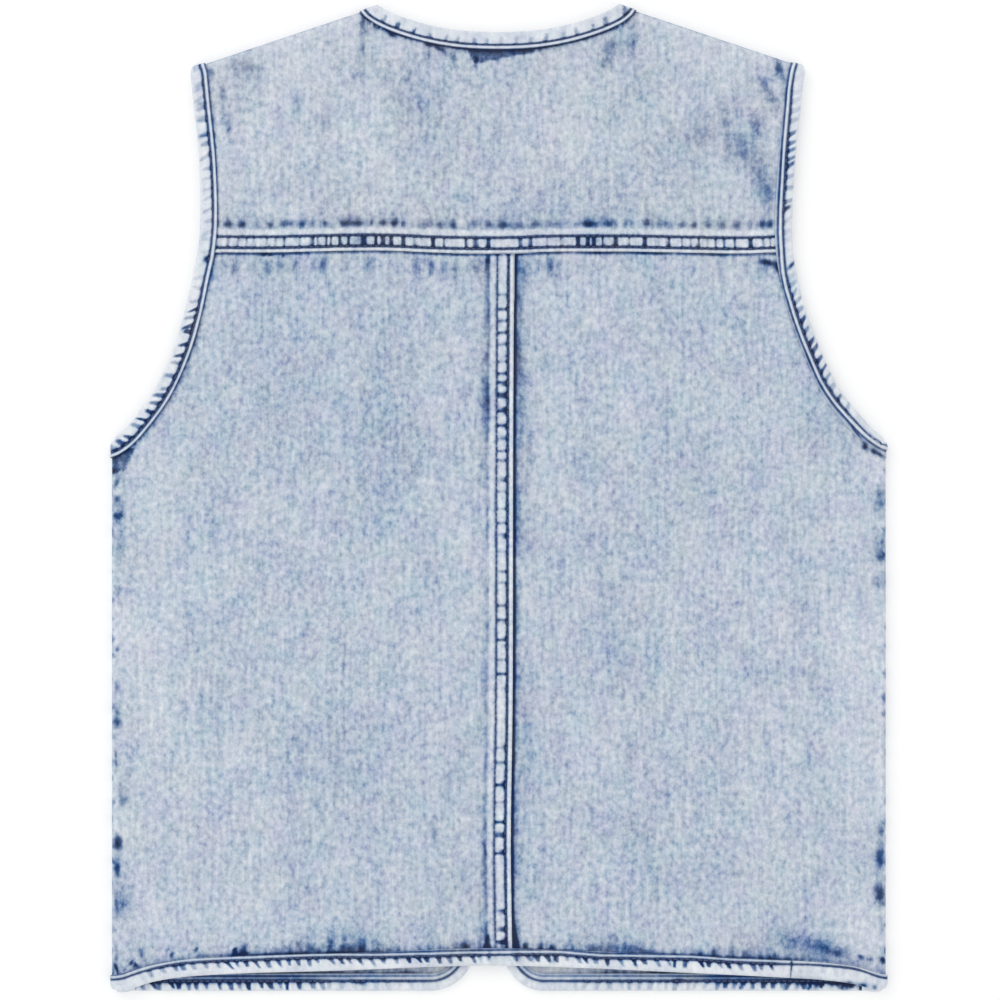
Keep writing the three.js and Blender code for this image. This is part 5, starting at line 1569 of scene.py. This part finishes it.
def one_stitch():
    """A short flattened bead of thread along X, with its faces."""
    turn = np.arange(ring_sides) * 2 * math.pi / ring_sides
    points = [(-0.5, 0.0, -tip_sink)]
    for x, size in ring_rows:
        points += [(x, size * math.cos(t), size * math.sin(t) - end_sink * x * x) for t in turn]
    points.append((0.5, 0.0, -tip_sink))
    quads, ends = [], []
    last = len(points) - 1
    for k in range(ring_sides):
        n = (k + 1) % ring_sides
        ends.append((0, 1 + n, 1 + k))
        ends.append((last, last - ring_sides + k, last - ring_sides + n))
        for row in range(len(ring_rows) - 1):
            a, b = 1 + row * ring_sides + k, 1 + row * ring_sides + n
            quads.append((a, b, b + ring_sides, a + ring_sides))
    return np.array(points), np.array(quads), np.array(ends)


def stitched(name, rows, seed):
    """All stitches of one sewn piece; a row gives a function that places a run on the cloth."""
    bead, quads, ends = one_stitch()
    draws = np.random.default_rng(seed)
    centres, alongs, ups = [], [], []
    beside, above = 0.8, 0.2
    for place, start, stop, off in rows:
        count = steps_of(stop - start, stitch_pitch)
        middle = start + (np.arange(count) + 0.5) * (stop - start) / count
        middle = middle + draws.normal(0, stitch_unevenness, count)
        ahead, behind = place(middle + beside, off), place(middle - beside, off)
        here = place(middle, off)
        up = place(middle, off + above * np.sign(off)) - here
        centres.append(here)
        alongs.append((ahead - behind) / np.linalg.norm(ahead - behind, axis=1, keepdims=True))
        ups.append(up / np.linalg.norm(up, axis=1, keepdims=True))
    centre, along, up = (np.concatenate(values) for values in (centres, alongs, ups))
    side = np.cross(up, along)
    local = bead * np.array([stitch_length, thread_width, thread_height])
    points = (
        centre[:, None] + local[None, :, 0:1] * along[:, None]
        + local[None, :, 1:2] * side[:, None] + local[None, :, 2:3] * up[:, None]
    )
    shift = (np.arange(len(centre)) * len(bead))[:, None, None]
    made = sewn_object(name, points.reshape(-1, 3), [
        (quads[None] + shift).reshape(-1, 4), (ends[None] + shift).reshape(-1, 3),
    ], navy_thread, {})
    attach(made, "root")
    return made


def along_edge(line, hand, place, band):
    """Places a run of stitches in the groove of a binding."""
    def spot(run, off):
        at = line.at(run)
        row = band["stitch"] + strayed(at, 1 if place is place_back else 0)
        return place(at + line.inward(run, hand) * row[:, None], off)
    return spot


thread_bed = outer_face - 0.32
row_margin = 1.5


def edge_rows(stretches):
    return [
        (along_edge(*stretch), row_margin, stretch[0].length - row_margin, off)
        for stretch in stretches for off in (thread_bed, -thread_bed)
    ]


def on_back(points, off):
    """Places stitches of a felled seam on its raised back, or beneath it on the wrong side."""
    edges = [back_armhole["left"], back_armhole["right"], back_hem, back_neck]
    to_edge = np.min([line.nearest(points)[0] for line in edges], axis=0)
    return place_back(waved(points), off, back_height(points, to_edge))


def yoke_row(above):
    return lambda run, off: on_back(np.stack([run, np.full(len(run), yoke_seam + above)], -1), off)


def lap_row(left_of):
    order = np.argsort(back_seam.points[:, 1])
    y, x = back_seam.points[order, 1], back_seam.points[order, 0]
    return lambda run, off: on_back(np.stack([np.interp(run, y, x) - left_of, run], -1), off)


def side_row(side, across):
    x = sign[side] * (folds["side_" + side].reach + side_cut - across)
    return lambda run, off: on_back(np.stack([np.full(len(run), x), run], -1), off)


def shoulder_row(side, across):
    fold = folds["shoulder_" + side]
    along = np.array([fold.out[1], -fold.out[0]])
    foot = fold.out * (fold.reach + shoulder_cut - across)
    return lambda run, off: on_back(foot + run[:, None] * along, off)


seam_off = half + seam_rise - groove_depth + 0.12
seam_ends = {"yoke": (-169.0, 163.0), "lap": (-264.0, 146.5), "side": (-284.5, 23.5)}
past_binding = binding_width + 0.5
seam_rows = [
    *((yoke_row(above), *seam_ends["yoke"], seam_off) for above in seam_stitches.values()),
    *((lap_row(left_of), *seam_ends["lap"], seam_off) for left_of in lap_stitches.values()),
]
for side in sides:
    fold = folds["shoulder_" + side]
    along = np.array([fold.out[1], -fold.out[0]])
    start, stop = sorted((neck_ends[side] @ along, shoulder_tips[side] @ along))
    for across in seam_stitches.values():
        seam_rows.append((side_row(side, across), *seam_ends["side"], seam_off))
        seam_rows.append((shoulder_row(side, across), start + past_binding, stop - past_binding, seam_off))

stitch_seed = {"left": 121, "right": 122, "back": 123, "seams": 124}
stitching = {
    side: stitched("stitches_front_" + side, edge_rows([
        (front_bound[side], front_hand[side], place_front, front_band_rows),
        (front_armhole[side].reversed(), -armhole_hand[side], place_front, band_rows),
    ]), stitch_seed[side])
    for side in sides
}
stitching["back"] = stitched("stitches_back_edges", edge_rows([
    *((back_armhole[side], armhole_hand[side], place_back, band_rows) for side in sides),
    (back_neck, neck_hand, place_back, neck_band_rows),
    (back_hem, hem_hand, place_back, hem_band_rows),
]), stitch_seed["back"])
stitching["seams"] = stitched("stitches_seams", seam_rows, stitch_seed["seams"])

# How the vest was cut
# Every panel is one layer of cloth that was cut flat and lies loose on what is beneath it.
for side in sides:
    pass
